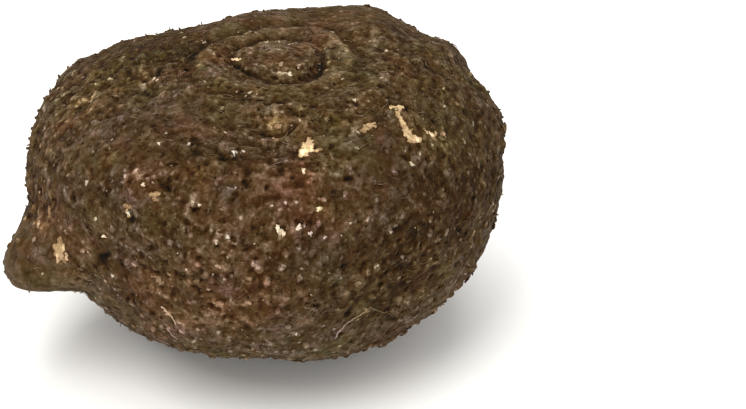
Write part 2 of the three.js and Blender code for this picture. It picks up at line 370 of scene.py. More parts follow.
# the plainest pale smudges and dark pits: both ends, radius mm, strength
PALE = [
    ((-77.1, -33.0, 130.9), (-74.5, -31.2, 132.5), 1.2, 0.90),
    ((-75.9, -15.8, 134.7), (-77.1, -19.7, 133.4), 1.0, 0.75),
    ((-87.0, -13.8, 129.3), (-85.7, -14.9, 129.9), 1.1, 0.80),
    ((-80.9, -19.1, 131.7), (-78.4, -21.3, 132.6), 0.8, 0.70),
    ((-70.3, -8.7, 138.3), (-69.4, -10.2, 138.4), 1.2, 0.90),
    ((-54.4, -6.2, 143.3), (-53.6, -7.4, 143.2), 1.3, 0.60),
    ((-53.4, -20.6, 140.2), (-51.9, -24.3, 139.9), 1.3, 0.95),
    ((-88.2, -28.7, 125.0), (-86.3, -31.3, 125.6), 1.1, 0.65),
    ((-97.8, -14.0, 121.4), (-96.8, -21.3, 120.1), 0.8, 0.60),
    ((-104.4, 4.3, 117.9), (-101.9, -4.2, 119.6), 1.1, 0.60),
    ((8.0, -64.2, 139.1), (12.0, -64.7, 138.7), 1.9, 0.85),
    ((7.7, -64.2, 139.1), (8.0, -64.7, 138.7), 1.0, 0.90),
    ((8.8, -53.8, 144.9), (9.5, -61.2, 141.6), 1.2, 0.65),
    ((19.7, -62.3, 140.9), (20.6, -62.6, 140.8), 0.9, 0.70),
    ((56.9, -44.5, 142.7), (57.9, -44.6, 142.4), 0.9, 0.60),
    ((41.9, -48.4, 145.0), (45.1, -48.4, 144.5), 0.9, 0.80),
    ((83.1, -30.1, 134.0), (85.1, -30.1, 132.6), 1.2, 0.75),
    ((43.2, -65.0, 137.2), (44.6, -67.0, 135.9), 1.2, 0.70),
    ((45.1, -63.5, 137.6), (48.0, -63.5, 137.2), 1.1, 0.55),
    ((83.2, -46.0, 128.4), (83.6, -48.7, 126.6), 1.4, 0.80),
    ((72.1, -63.5, 126.8), (72.6, -64.4, 125.6), 0.9, 0.70),
    ((69.2, -68.2, 124.9), (72.1, -66.4, 124.2), 0.8, 0.55),
    ((78.0, -56.7, 127.0), (78.4, -57.0, 126.5), 0.9, 0.60),
    ((65.5, -11.7, 146.0), (67.3, -13.8, 145.3), 1.2, 0.55),
    ((81.3, 3.0, 141.9), (83.1, 3.1, 140.9), 1.2, 0.60),
    ((-100.7, -45.8, 89.1), (-100.2, -49.2, 88.3), 1.3, 0.75),
    ((-100.3, -52.5, 86.8), (-98.3, -58.2, 86.3), 1.3, 1.10),
    ((-94.9, -53.9, 93.2), (-93.8, -58.5, 91.6), 1.0, 0.80),
    ((-96.8, -39.7, 109.9), (-96.6, -43.9, 105.9), 0.8, 0.70),
    ((-49.3, -84.6, 126.8), (-47.5, -86.7, 125.8), 1.3, 1.10),
    ((-54.5, -83.3, 124.0), (-52.9, -84.2, 124.5), 0.9, 0.95),
    ((-42.1, -92.6, 120.4), (-40.0, -93.7, 119.6), 1.4, 1.20),
    ((-42.0, -93.5, 118.3), (-41.4, -93.8, 118.0), 1.0, 0.90),
    ((-52.1, -90.2, 113.1), (-50.4, -91.1, 113.0), 1.3, 1.00),
    ((-54.6, -89.1, 111.2), (-53.6, -89.8, 110.3), 1.1, 0.90),
    ((-24.3, -96.4, 120.8), (-24.4, -98.4, 117.3), 1.2, 1.15),
    ((-27.1, -98.1, 116.8), (-28.2, -99.1, 113.9), 1.1, 0.75),
    ((-39.5, -87.0, 128.9), (-39.3, -87.3, 128.7), 0.9, 0.60),
    ((-9.8, -104.5, 106.7), (-9.1, -105.0, 104.8), 1.2, 1.00),
    ((-13.7, -104.2, 106.7), (-13.4, -104.4, 105.9), 0.9, 0.55),
    ((-15.0, -104.8, 103.5), (-14.6, -104.9, 102.7), 0.8, 0.80),
    ((8.9, -98.3, 119.0), (9.3, -99.3, 117.7), 1.0, 0.75),
    ((14.7, -97.7, 119.2), (15.5, -98.1, 118.5), 0.9, 0.60),
    ((18.4, -97.2, 119.0), (20.3, -97.3, 118.2), 1.0, 0.75),
    ((29.8, -86.3, 125.6), (29.7, -89.3, 123.4), 1.0, 0.70),
    ((41.5, -96.1, 109.2), (43.8, -95.5, 107.9), 1.2, 0.80),
    ((53.7, -89.1, 109.3), (56.0, -88.3, 106.9), 1.3, 0.55),
    ((53.3, -89.9, 85.0), (53.6, -89.0, 81.7), 1.0, 0.90),
    ((0.4, -106.8, 94.1), (2.4, -106.8, 93.3), 1.2, 0.80),
    ((11.6, -106.5, 94.0), (13.2, -106.4, 92.0), 1.2, 0.60),
    ((-42.1, -93.7, 79.3), (-41.0, -94.0, 76.8), 1.2, 0.90),
    ((-42.2, -93.0, 73.0), (-41.1, -93.3, 71.6), 1.0, 0.80),
    ((-27.9, -101.3, 88.0), (-26.4, -101.7, 86.9), 1.2, 0.60),
    ((-17.4, -104.6, 86.3), (-17.0, -104.5, 84.3), 0.9, 0.70),
    ((-13.1, -105.7, 87.9), (-11.9, -105.7, 85.9), 1.2, 0.65),
    ((6.0, -106.9, 87.2), (6.4, -106.8, 84.8), 0.9, 0.75),
    ((4.4, -106.5, 79.6), (6.8, -106.3, 78.0), 1.3, 0.85),
    ((-17.1, -103.1, 73.8), (-15.9, -103.0, 71.5), 1.1, 0.60),
    ((-21.7, -100.2, 66.4), (-17.6, -101.4, 66.3), 1.3, 0.80),
    ((-9.5, -105.0, 75.3), (-8.3, -104.9, 73.3), 1.2, 0.55),
    ((-6.3, -105.2, 73.3), (-3.5, -105.3, 72.5), 1.0, 0.65),
    ((-5.8, -103.7, 65.9), (-3.5, -103.8, 65.2), 1.2, 0.65),
    ((3.1, -102.5, 59.8), (5.3, -101.7, 57.6), 1.3, 0.65),
    ((17.1, -98.6, 54.4), (19.6, -97.3, 53.1), 1.1, 0.95),
    ((36.6, -99.7, 85.6), (38.2, -98.4, 82.6), 1.5, 0.65),
    ((42.9, -95.4, 80.4), (46.3, -92.7, 77.6), 1.4, 0.55),
    ((39.8, -96.0, 75.0), (40.7, -94.3, 71.2), 1.2, 0.65),
    ((22.1, -104.0, 77.3), (22.8, -103.3, 74.2), 1.2, 0.70),
    ((22.6, -102.6, 70.4), (27.2, -100.0, 66.8), 0.7, 0.60),
    ((41.3, -83.3, 46.6), (41.7, -82.6, 45.8), 0.9, 0.60),
    # on the bud disc's front rim: a painted glint
    ((8.9, -23.3, 147.3), (10.4, -24.1, 147.1), 1.1, 0.85),
    ((52.3, 29.3, 149.2), (53.0, 21.7, 148.6), 1.1, 0.60),
    ((19.2, 17.8, 145.6), (22.7, 15.2, 145.6), 0.9, 0.60),
    ((22.6, 14.2, 145.5), (27.6, 8.2, 145.8), 0.9, 0.65),
    ((58.0, 3.3, 147.4), (60.1, 3.5, 147.2), 0.9, 0.75),
    ((58.4, -17.4, 146.8), (60.4, -17.8, 146.5), 0.8, 0.55),
    ((-22.3, -1.3, 147.7), (-21.3, -5.0, 147.2), 0.9, 0.65),
]
PITS = [
    ((25.3, -55.1, 144.5), (27.0, -54.6, 144.5), 0.8, 1.00),
    ((41.8, -61.4, 139.1), (42.4, -61.6, 138.9), 0.9, 0.90),
    ((65.0, -69.0, 127.1), (66.7, -68.8, 126.1), 1.0, 1.00),
    ((20.8, -80.0, 130.7), (21.2, -80.4, 130.5), 0.8, 1.00),
    ((43.3, -50.7, 144.1), (44.9, -50.8, 143.7), 0.8, 0.80),
    ((19.2, -60.1, 142.4), (21.9, -60.2, 142.5), 0.7, 0.80),
    ((1.5, -50.5, 145.4), (3.7, -50.6, 145.4), 0.8, 0.90),
    ((4.6, -53.1, 145.0), (6.3, -53.1, 145.0), 0.8, 0.90),
    ((11.1, -53.1, 145.1), (12.8, -53.1, 145.1), 0.8, 1.00),
    ((7.5, -60.1, 142.4), (7.9, -60.3, 142.2), 0.8, 0.80),
    ((10.6, -73.8, 134.9), (11.0, -74.8, 134.3), 0.9, 0.90),
    ((-6.1, -77.8, 133.9), (-5.3, -78.1, 133.7), 0.8, 0.90),
    ((-46.7, -13.5, 143.7), (-46.5, -17.6, 143.0), 1.1, 0.90),
    ((-89.2, -5.7, 129.3), (-87.8, -7.9, 129.8), 0.9, 0.90),
    ((-76.7, -22.4, 133.1), (-74.6, -23.9, 133.8), 0.7, 0.80),
    ((-91.2, -12.7, 126.9), (-89.5, -15.9, 127.3), 0.9, 0.90),
    ((-44.0, -62.9, 138.4), (-42.5, -64.9, 138.4), 1.0, 0.90),
    ((-34.3, -12.8, 144.9), (-32.4, -13.9, 145.3), 0.8, 0.80),
    ((-42.6, -5.7, 145.5), (-39.2, -7.1, 145.6), 0.8, 0.80),
    ((-25.8, -74.5, 137.6), (-25.8, -78.3, 136.0), 0.8, 0.80),
    ((-80.2, -69.5, 107.1), (-79.9, -70.3, 105.6), 1.2, 1.00),
    ((-100.5, -41.6, 96.7), (-99.8, -43.1, 95.4), 1.0, 1.00),
    ((-86.7, -55.4, 113.7), (-85.1, -57.5, 114.5), 0.9, 0.80),
    ((-105.2, -31.2, 98.7), (-103.7, -34.1, 99.6), 0.9, 0.90),
    ((-71.8, -76.2, 76.0), (-71.0, -76.5, 75.1), 1.0, 1.00),
    ((-68.8, -79.3, 81.8), (-67.6, -79.7, 79.4), 1.2, 0.80),
    ((-92.0, -68.4, 78.6), (-92.3, -68.7, 76.2), 0.8, 0.80),
    ((-42.6, -92.0, 121.4), (-41.5, -92.3, 121.5), 0.7, 1.00),
    ((-37.6, -91.8, 124.2), (-35.3, -93.0, 123.1), 1.3, 0.90),
    ((-34.7, -90.5, 126.5), (-34.6, -91.1, 126.0), 0.9, 0.90),
    ((-27.3, -100.3, 110.9), (-26.2, -100.8, 110.3), 1.2, 1.00),
    ((-24.6, -99.2, 115.6), (-22.3, -99.5, 115.7), 0.8, 0.90),
    ((-2.7, -91.9, 125.5), (-1.0, -93.2, 124.4), 1.2, 1.00),
    ((-2.3, -87.2, 128.6), (-1.0, -87.9, 128.1), 0.8, 0.80),
    ((-6.5, -95.7, 122.2), (-6.1, -96.0, 121.9), 0.8, 0.80),
    ((-13.1, -81.0, 133.5), (-11.2, -83.0, 132.2), 1.2, 0.80),
    ((-24.2, -81.9, 134.0), (-23.5, -82.9, 133.4), 0.9, 0.80),
    ((-52.6, -85.8, 122.9), (-51.7, -86.5, 122.9), 0.8, 0.90),
    ((-45.4, -87.5, 126.2), (-44.4, -88.0, 126.1), 0.8, 0.80),
    ((-44.9, -90.6, 122.4), (-44.2, -91.0, 122.1), 0.8, 0.80),
    ((-7.9, -104.9, 105.6), (-6.7, -105.1, 104.8), 0.9, 0.90),
    ((-12.5, -103.9, 108.2), (-11.7, -104.0, 107.9), 0.7, 0.90),
    ((-52.0, -90.8, 108.8), (-51.7, -91.1, 106.6), 1.1, 1.00),
    ((40.4, -84.6, 124.3), (42.2, -85.1, 123.4), 1.3, 0.90),
    ((19.9, -101.1, 112.0), (21.1, -101.3, 110.8), 1.0, 1.00),
    ((24.9, -100.5, 110.6), (25.5, -101.0, 109.1), 1.0, 1.00),
    ((29.8, -100.5, 107.3), (30.2, -100.5, 106.9), 0.8, 0.90),
    ((14.0, -103.2, 109.3), (14.8, -103.3, 108.5), 0.8, 0.90),
    ((6.3, -94.0, 123.5), (6.7, -94.6, 123.0), 0.8, 0.80),
    ((12.2, -87.5, 127.5), (13.2, -87.8, 127.3), 0.8, 0.80),
    ((34.1, -90.8, 120.8), (35.5, -90.4, 120.7), 0.7, 0.80),
    ((-57.5, -83.0, 63.0), (-57.3, -82.7, 61.4), 1.0, 1.00),
    ((-40.2, -93.9, 73.0), (-39.4, -94.1, 71.9), 0.8, 0.80),
    ((-14.2, -105.1, 101.9), (-13.9, -105.2, 101.5), 0.8, 0.80),
    ((-48.2, -92.1, 91.4), (-47.8, -92.2, 90.0), 1.0, 0.80),
    ((-17.8, -102.4, 71.2), (-14.7, -102.9, 69.6), 1.2, 0.80),
    ((40.4, -89.9, 59.5), (42.2, -87.5, 56.5), 1.1, 0.80),
    ((58.8, -70.4, 45.8), (62.1, -65.0, 41.5), 1.2, 0.80),
    ((40.2, 7.1, 147.3), (41.7, 7.0, 146.4), 1.1, 1.00),
    ((34.0, -6.3, 146.7), (35.0, -6.8, 146.9), 0.8, 0.80),
    ((60.5, -21.8, 146.2), (62.0, -22.2, 145.8), 0.9, 1.00),
    ((5.7, -24.7, 145.9), (7.7, -25.9, 145.9), 1.0, 1.00),
]

CREASE = [   # points, depth, width mm
    ([(-45.3, -61.4, 138.3), (-40.4, -67.7, 138.2), (-33.4, -70.8, 138.6), (-27.2, -69.2, 139.6),
      (-23.7, -74.9, 137.4)], 0.8, 1.5),
    ([(-24.4, -80.1, 135.0), (-19.7, -82.0, 133.7), (-13.2, -83.6, 132.1), (-7.1, -82.1, 132.0)], 0.9, 1.4),
    ([(-70.2, -77.4, 78.8), (-66.6, -81.0, 83.6), (-64.0, -83.0, 86.6)], 1.5, 1.7),
    ([(61.7, -85.6, 99.2), (69.0, -79.0, 104.0), (78.0, -70.0, 108.0)], 0.7, 2.0),
    ([(95.0, 30.0, 104.0), (88.0, 46.0, 98.0), (86.0, 56.0, 88.0)], 1.2, 1.5),
    ([(-52.0, 84.0, 104.0), (-38.0, 92.0, 110.0), (-26.0, 93.0, 116.0), (-18.0, 98.0, 112.0)], 1.2, 1.6),
    ([(24.0, 96.0, 84.0), (36.0, 95.0, 76.0), (44.0, 90.0, 80.0)], 1.1, 1.4),
]


def line_distance(P, pts):
    best = np.full(len(P), 1e9)
    for a, b in zip(pts[:-1], pts[1:]):
        a, b = here(*a), here(*b)
        ab = b - a
        t = np.clip(((P - a) @ ab) / (ab @ ab), 0, 1)
        best = np.minimum(best, np.linalg.norm(P - a - t[:, None] * ab, axis=1))
    return best


def blob(P, c, R):
    return np.exp(-((P - here(*c)) ** 2).sum(1) / (R * R))


relief = np.zeros(len(P0))
rough = 0.80 + 0.8 * fbm(P0, 40.0, 2, seed=3)
rough = np.clip(rough, 0.5, 1.25)
knobness = sstep(2.0, 10.0, KNOB)
back = top * sstep(8, 55, P0[:, 1] - here(0, BUD[1], 0)[1]) * (1 - sstep(85, 120, far))
calm = 0.75 * blob(P0, (-37, -58, 141), 24) + 0.5 * blob(P0, (-82, -66, 106), 26) + 0.45 * blob(P0, (32, -102, 92), 20) \
    + 0.8 * blob(P0, (54, -73, 128), 17) + 0.35 * blob(P0, (86, -38, 124), 22) + 0.75 * knobness + 0.80 * back \
    + 0.45 * top * np.exp(-((rho - 34.0) / 7.0) ** 2)
calm = np.clip(calm, 0, 0.9)
rough = rough * (1 - 0.70 * calm)

# the shoulders sit a little lower than the plain form
relief -= 1.9 * blob(P0, (-28, 64, 138), 14) + 0.8 * blob(P0, (-12, 54, 147), 12) + 2.2 * blob(P0, (65, 61, 142), 10) \
    + 1.6 * blob(P0, (87, 44, 136), 9) + 2.2 * blob(P0, (101, 31, 124), 7) - 0.9 * blob(P0, (108, 17, 118), 7) \
    - 2.5 * blob(P0, (-95, 38, 124), 8)
relief -= 1.9 * blob(P0, (-83, -42, 40), 13) + 1.7 * blob(P0, (-70, -43, 28), 12) + 1.6 * blob(P0, (-56, -43, 20), 12) \
    + 1.1 * blob(P0, (-25, -75, 28), 15) + 1.1 * blob(P0, (3, -75, 27), 15) + 1.2 * blob(P0, (30, -66, 20), 14) \
    + 0.9 * blob(P0, (47, -59, 19), 12)
relief -= 1.3 * blob(P0, (-50, 38, 142), 28) + 0.8 * blob(P0, (12, 60, 147), 18) + 0.9 * blob(P0, (66, 46, 145), 12) \
    + 1.2 * blob(P0, (100, 8, 128), 9)

# broad unevenness, then lumps down to the net's own pitch
relief += 1.0 * fbm(P0, 26.0, 2, seed=21)
relief += rough * 1.7 * fbm(P0, 9.5, 2, 0.55, seed=23)
relief += rough * 0.85 * fbm(P0, 4.3, 2, 0.6, seed=27)
# ledges round the left shoulder
ledge = blob(P0, (-78, -10, 132), 30) + 0.7 * blob(P0, (-100, -20, 104), 26) + 0.6 * blob(P0, (96, 10, 118), 26)
relief += ledge * 1.6 * fbm(P0, 8.0, 2, 0.5, seed=29)

# warty cobbles, some proud and some sunk, with joints between
warp = np.stack([perlin(P0 / 7.0 + 5.1 * k, 40 + k) for k in range(3)], 1)
f1, f2, who = cells((P0 + 1.8 * warp) / 6.2, seed=5)
joint = f2 - f1
knobbly = np.clip(0.62 + 0.7 * perlin(P0 / 30.0, 51), 0.1, 1)
proud = _JIT[who, 0]
relief += rough * knobbly * (0.75 * (0.55 - np.minimum(f1, 0.8)) + 0.55 * (proud - 0.5) * sstep(0.0, 0.35, joint))

# small pits
g1, g2, gwho = cells((P0 + 0.9 * warp) / 4.2, seed=9)
pit = np.where(_JIT[gwho, 1] > 0.60, 1.0, 0.0) * (1 - sstep(0.16, 0.38, g1))
relief -= rough * 0.9 * pit

# growth rings and wrinkles round the crown, broken along their length
wob = 3.0 * fbm(P0, 20.0, 2, seed=61)
ring_zone = sstep(38, 50, rho) * (1 - sstep(80, 112, far))
broken = np.clip(0.35 + 1.5 * perlin(P0 / 12.0, 63), 0, 1.2)
broken2 = np.clip(0.30 + 1.6 * perlin(P0 / 8.0, 64), 0, 1.2)
relief += ring_zone * (0.34 * np.sin(2 * np.pi * (far + wob) / 8.2) * broken
                       + 0.26 * np.sin(2 * np.pi * (far + 1.5 * wob) / 4.1 + 1.0) * broken2)

# the bud: fine broken rings on the ridge, and a lumpy disc
mid = round_curve(GROOVE_AT, ang)
deep = round_curve(GROOVE_DEEP, ang)
disc = (1 - sstep(mid - 3.5, mid - 1.0, rho)) * top
relief += top * sstep(mid + 1, mid + 4, rho) * (1 - sstep(41, 46, rho)) * (
    0.30 * np.sin(2 * np.pi * (rho + 0.5 * wob) / 3.4) * broken2 + 0.7 * fbm(P0, 6.0, 2, seed=76))
relief += disc * (0.9 * fbm(P0, 6.5, 3, 0.6, seed=74) + 0.22 * np.sin(2 * np.pi * (rho + 0.4 * wob) / 4.4)
                  + 0.8 * np.exp(-(np.hypot(P0[:, 0] - here(-2, 0, 0)[0], P0[:, 1] - here(0, -3, 0)[1]) / 6.0) ** 2))
# a torn lip round the disc, and the groove's sharp foot
relief += top * np.exp(-((rho - mid + 3.2 - 0.7 * np.sin(5 * ang)) / 1.2) ** 2) * (0.25 + 1.1 * perlin(P0 / 5.0, 77)) \
    * np.clip(deep / 3.0, 0.2, 1)
relief -= top * np.exp(-((rho - mid) / 1.5) ** 2) * 0.28 * deep

# side buds: a ragged inner ring and a sunk eye
for c, R, hh in SIDE_BUDS:
    q = np.linalg.norm(P0 - here(*c), axis=1)
    broken3 = np.clip(0.5 + 1.8 * perlin(P0 / 6.0, 65), 0, 1.2)
    relief += 0.30 * np.sin(2 * np.pi * q / 3.4) * (1 - sstep(R * 0.8, R * 1.15, q)) * broken3
    relief -= 0.7 * np.exp(-((q - R * 0.55) / 1.6) ** 2) * broken3
    relief += 0.6 * np.exp(-(q / 3.4) ** 2)

# creases, with the skin swollen above each
groove = np.zeros(len(P0))
for pts, depth, width in CREASE:
    q = line_distance(P0 + 0.8 * warp, pts)
    g = np.exp(-(q / width) ** 2)
    groove = np.maximum(groove, g * min(depth / 1.8, 1))
    relief += 0.4 * np.exp(-(q / (width * 3.2)) ** 2) - (depth + 0.3) * g * (0.6 + 0.9 * perlin(P0 / 4.5, 83))
relief += knobness * 1.0 * fbm(P0, 12.0, 2, seed=81)


def marked(items, power=2.0):
    """How much each vertex lies in any of a list of marks."""
    Q = P0 + 0.9 * warp + 0.5 * np.stack([perlin(P0 / 2.3 + 3.7 * k, 44 + k) for k in range(3)], 1)
    out = np.zeros(len(P0))
    for a, b, r, strength in items:
        a, b = here(*a), here(*b)
        near_it = ((P0 - a) ** 2).sum(1) < (np.linalg.norm(b - a) + 4 * r + 2) ** 2
        q, ab = Q[near_it] - a, b - a
        t = np.clip(q @ ab / max(ab @ ab, 1e-9), 0, 1)
        far_off = np.linalg.norm(q - t[:, None] * ab, axis=1) / r
        out[near_it] = np.maximum(out[near_it], strength * np.exp(-(far_off / 1.12) ** (2 * power)))
    return out


# marks on the sides and back too
rm = np.random.RandomState(3307)
OTHERS_PALE, OTHERS_PITS = [], []
while len(OTHERS_PALE) < 300:
    d = rm.normal(size=3)
    d /= np.linalg.norm(d)
    front = d @ LLINE > 0.12
    if d[2] < -0.8 or (front and rm.uniform() < 0.35):
        continue
    q = skin(d[None])[0][0]
    step = rm.normal(size=3)
    step -= d * (step @ d)
    step *= rm.uniform(0.5, 3.2) / np.linalg.norm(step)
    items = OTHERS_PALE if rm.uniform() < 0.63 else OTHERS_PITS
    items.append((tuple(q), tuple(q + step), rm.uniform(0.8, 1.5), rm.uniform(0.30, 0.55 if front else 1.05)))
# skin broken through to the pale tissue: both ends of each stroke, its radius mm, and how pale it is
PATCHES = [
    # the chip below the side bud
    ((24.6, -72.4, 134.4), (23.0, -76.9, 132.2), 1.55, 0.64),
    ((24.0, -70.4, 135.3), (25.3, -70.7, 135.1), 0.85, 0.62), ((22.3, -73.1, 134.0), (25.6, -73.1, 133.9), 1.15, 0.70),
    ((25.7, -72.7, 134.1), (25.8, -75.5, 132.7), 0.80, 0.88), ((21.5, -75.6, 132.8), (25.8, -75.5, 132.7), 1.00, 0.90),
    ((22.1, -75.6, 132.8), (22.0, -77.4, 131.9), 0.80, 1.00), ((20.8, -75.3, 133.0), (21.0, -78.5, 131.4), 0.80, 0.66),
    ((21.6, -78.1, 131.6), (23.1, -78.1, 131.5), 0.90, 0.74), ((26.7, -75.4, 132.7), (28.0, -75.4, 132.7), 0.80, 0.60),
    ((28.2, -75.0, 132.8), (29.4, -75.0, 132.8), 0.85, 0.38), ((24.0, -69.4, 135.8), (24.7, -69.7, 135.6), 0.80, 0.42),
    # the long tear on the right front
    ((62.9, -48.3, 139.6), (63.6, -51.5, 138.3), 1.05, 0.56), ((63.6, -51.5, 138.3), (66.0, -57.2, 134.6), 1.30, 0.58),
    ((66.0, -57.2, 134.6), (68.2, -60.4, 131.9), 1.35, 0.59), ((68.0, -60.6, 131.7), (72.6, -59.0, 129.8), 1.25, 0.60),
    ((60.2, -47.3, 140.7), (65.3, -44.9, 139.7), 0.85, 0.74), ((62.5, -47.9, 139.7), (64.1, -46.9, 139.5), 0.85, 0.65),
    ((63.6, -48.8, 139.0), (63.7, -50.0, 138.6), 1.00, 0.43), ((63.1, -50.7, 138.6), (64.2, -52.8, 137.3), 1.10, 0.56),
    ((64.6, -53.5, 136.9), (65.5, -54.7, 136.0), 1.00, 0.73), ((65.5, -55.5, 135.5), (66.3, -57.0, 134.5), 1.20, 0.56),
    ((68.0, -56.7, 133.8), (69.2, -56.0, 133.5), 0.75, 0.47), ((66.4, -58.9, 133.4), (68.8, -57.8, 132.8), 1.15, 0.63),
    ((66.2, -60.1, 132.8), (66.8, -60.2, 132.5), 0.82, 0.76), ((67.8, -60.6, 131.7), (70.6, -59.1, 130.9), 1.30, 0.65),
    ((71.6, -58.4, 130.8), (71.9, -59.6, 129.8), 0.88, 0.87), ((73.0, -57.8, 130.2), (73.1, -58.3, 129.8), 0.75, 0.67),
    ((67.6, -62.3, 130.7), (72.8, -59.4, 129.3), 0.75, 0.48),
    # the two small ones beside it
    ((75.6, -52.8, 131.1), (76.1, -53.1, 130.6), 0.85, 0.76), ((77.1, -52.1, 130.5), (78.2, -52.8, 129.3), 1.00, 1.00),
    ((79.9, -49.8, 129.4), (79.6, -52.1, 128.4), 0.80, 0.50), ((78.3, -54.2, 128.4), (80.0, -52.8, 127.8), 0.68, 0.38),
    ((82.4, -47.6, 128.4), (82.4, -49.2, 127.6), 0.78, 0.40), ((83.6, -46.6, 127.8), (83.7, -47.9, 127.1), 0.82, 0.58),
    # on the knob
    ((-88.6, -69.0, 82.4), (-88.3, -69.9, 77.4), 1.55, 0.52),
    ((-90.4, -68.3, 82.0), (-90.6, -69.0, 78.3), 0.90, 0.52), ((-89.7, -69.4, 77.7), (-89.8, -69.4, 74.6), 0.80, 0.71),
    ((-86.4, -70.0, 83.2), (-86.6, -70.1, 81.0), 0.90, 0.72), ((-87.9, -69.5, 81.6), (-88.2, -69.8, 77.7), 1.00, 0.57),
    ((-85.3, -70.7, 79.0), (-85.3, -70.6, 76.5), 0.82, 0.69), ((-88.0, -68.8, 85.6), (-88.0, -69.3, 83.2), 1.30, 0.37),
    ((-88.2, -69.8, 76.4), (-86.7, -70.2, 75.1), 0.85, 0.40),
    ((-101.2, -45.1, 88.7), (-100.5, -48.9, 87.9), 1.00, 0.31), ((-99.9, -53.8, 86.7), (-99.7, -56.6, 85.6), 1.00, 0.53),
    ((-94.5, -54.1, 93.9), (-94.7, -57.6, 91.4), 0.80, 0.36),
    # rubbed places, and a painted highlight along the bud disc's left edge
    ((47.2, -64.4, 136.8), (50.3, -61.6, 137.6), 1.25, 0.38), ((50.4, -61.0, 138.0), (52.6, -60.2, 137.8), 1.20, 0.60),
    ((48.4, -62.2, 137.8), (49.9, -63.4, 136.9), 0.85, 0.50),
    ((-42.6, -92.8, 119.7), (-39.8, -93.2, 120.7), 1.00, 0.46), ((-41.3, -93.6, 118.8), (-40.3, -94.3, 117.8), 0.80, 0.40),
    ((-54.5, -88.9, 112.6), (-52.1, -90.2, 112.7), 1.00, 0.44), ((-53.6, -89.7, 110.6), (-53.0, -90.3, 108.6), 0.85, 0.54),
    # the second stroke on this line, a pale streak along the bud disc's left edge, is a painted highlight
    ((9.7, -64.4, 138.9), (11.9, -64.2, 139.1), 1.00, 0.40), ((-13.9, -2.2, 145.2), (-9.5, -6.5, 146.7), 0.60, 0.90),
    # the hidden sides
    ((29.0, 83.0, 129.5), (32.0, 85.5, 126.5), 1.50, 0.78), ((31.0, 86.0, 127.0), (34.0, 87.0, 123.5), 1.00, 0.92),
    ((28.0, 84.5, 127.0), (27.0, 86.0, 124.5), 0.90, 0.55), ((101.6, 17.0, 98.0), (102.0, 21.0, 95.0), 1.10, 0.66),
    ((101.8, 20.0, 97.5), (102.0, 23.0, 93.0), 0.90, 0.88), ((102.2, 15.0, 94.5), (102.4, 17.0, 92.5), 0.80, 0.45),
    ((-84.0, 54.0, 103.0), (-84.6, 57.0, 99.0), 1.10, 0.64), ((-85.0, 56.0, 98.0), (-85.6, 58.5, 95.0), 0.90, 0.85),
    ((-58.0, 84.0, 86.0), (-55.5, 86.0, 83.0), 1.10, 0.58), ((-55.0, 86.0, 85.5), (-53.5, 87.0, 84.0), 0.80, 0.90),
    ((66.0, 66.0, 100.0), (70.0, 64.0, 97.0), 1.50, 0.46), ((-14.0, 97.0, 96.0), (-18.0, 97.0, 92.0), 1.40, 0.44)]
PATCHES = [(a, b, 1.20 * r, s) for a, b, r, s in PATCHES]


def stroke_field(Q, items=PATCHES, ragged=1.0):
    """How pale the bare tissue is at points of the plain form, and how far the nearest stroke is, in its own radii."""
    W = Q + 1.25 * ragged * np.stack([perlin(Q / 2.3 + 3.1 * k, 140 + k) for k in range(3)], 1) \
        + 0.75 * ragged * np.stack([perlin(Q / 0.8 + 7.7 * k, 150 + k) for k in range(3)], 1)
    out, near_it = np.zeros(len(Q)), np.full(len(Q), 9.0)
    for a, b, r, s in items:
        a, b = here(*a), here(*b)
        t = np.clip((W - a) @ (b - a) / max((b - a) @ (b - a), 1e-9), 0, 1)
        q = np.linalg.norm(W - a - t[:, None] * (b - a), axis=1) / r
        out = np.maximum(out, s * sstep(1.12, 0.70, q))
        near_it = np.minimum(near_it, q)
    return out, near_it


bare, bare_at = stroke_field(P0, ragged=0.4)
patch_mark = sstep(1.9, 0.9, bare_at)
rim_mark = sstep(2.7, 1.1, stroke_field(P0, [v for v in PATCHES if v[3] > 0.5], 0.6)[1])
pale_mark = marked(PALE + OTHERS_PALE) * (1 - 0.8 * patch_mark)
pit_mark = marked(PITS + OTHERS_PITS) * (1 - patch_mark)
relief = relief * (1 - 0.5 * patch_mark) + 0.35 * pale_mark - 0.75 * pit_mark - 0.30 * patch_mark

# swellings under the root scars
kd = KDTree(len(P0))
for i, p in enumerate(P0):
    kd.insert(p, i)
kd.balance()
# a ring round each scar's foot, where shade is painted
scar_foot_shade = np.zeros(len(P0))
for c, R in zip(SCAR_P, SCAR_R):
    for _, i, q in kd.find_range(c, R * 2.6):
        relief[i] += 0.28 * R * math.exp(-(q / (R * 1.25)) ** 2)
        scar_foot_shade[i] = max(scar_foot_shade[i], math.exp(-((q - R * 1.25) / (R * 0.45)) ** 2))

# underside: a worn seat, and the old stem's scar sunk in its middle
seat_mid = here(0.0, 19.0, 0.0)
under = np.hypot(P0[:, 0] - seat_mid[0], P0[:, 1] - seat_mid[1])
SKIN = BASE + NRM * relief[:, None]
low = flat & (DIR[:, 2] < 0)
lift = 0.55 * np.clip(fbm(P0, 7.0, 3, 0.6, seed=91), 0, None) + 0.3 * pit
scar = 1 - sstep(15.0, 19.5, under + 1.2 * fbm(P0, 9.0, 2, seed=92))
lift += scar * (2.4 + 0.45 * np.sin(2 * np.pi * under / 4.4) + 0.5 * fbm(P0, 5.0, 2, seed=93))
SKIN[low, 2] = lift[low]
SKIN[low, :2] = BASE[low, :2]
SKIN[:, 2] = np.maximum(SKIN[:, 2], 0.0)

# stays within the CAD part's own box
lo, hi = [np.array(v) * 1000 for v in CAD_BOX]
SKIN = np.clip(SKIN, lo - 1.6 * (np.array([1, 1, 0])), hi + (1.6, 1.6, 1.2))

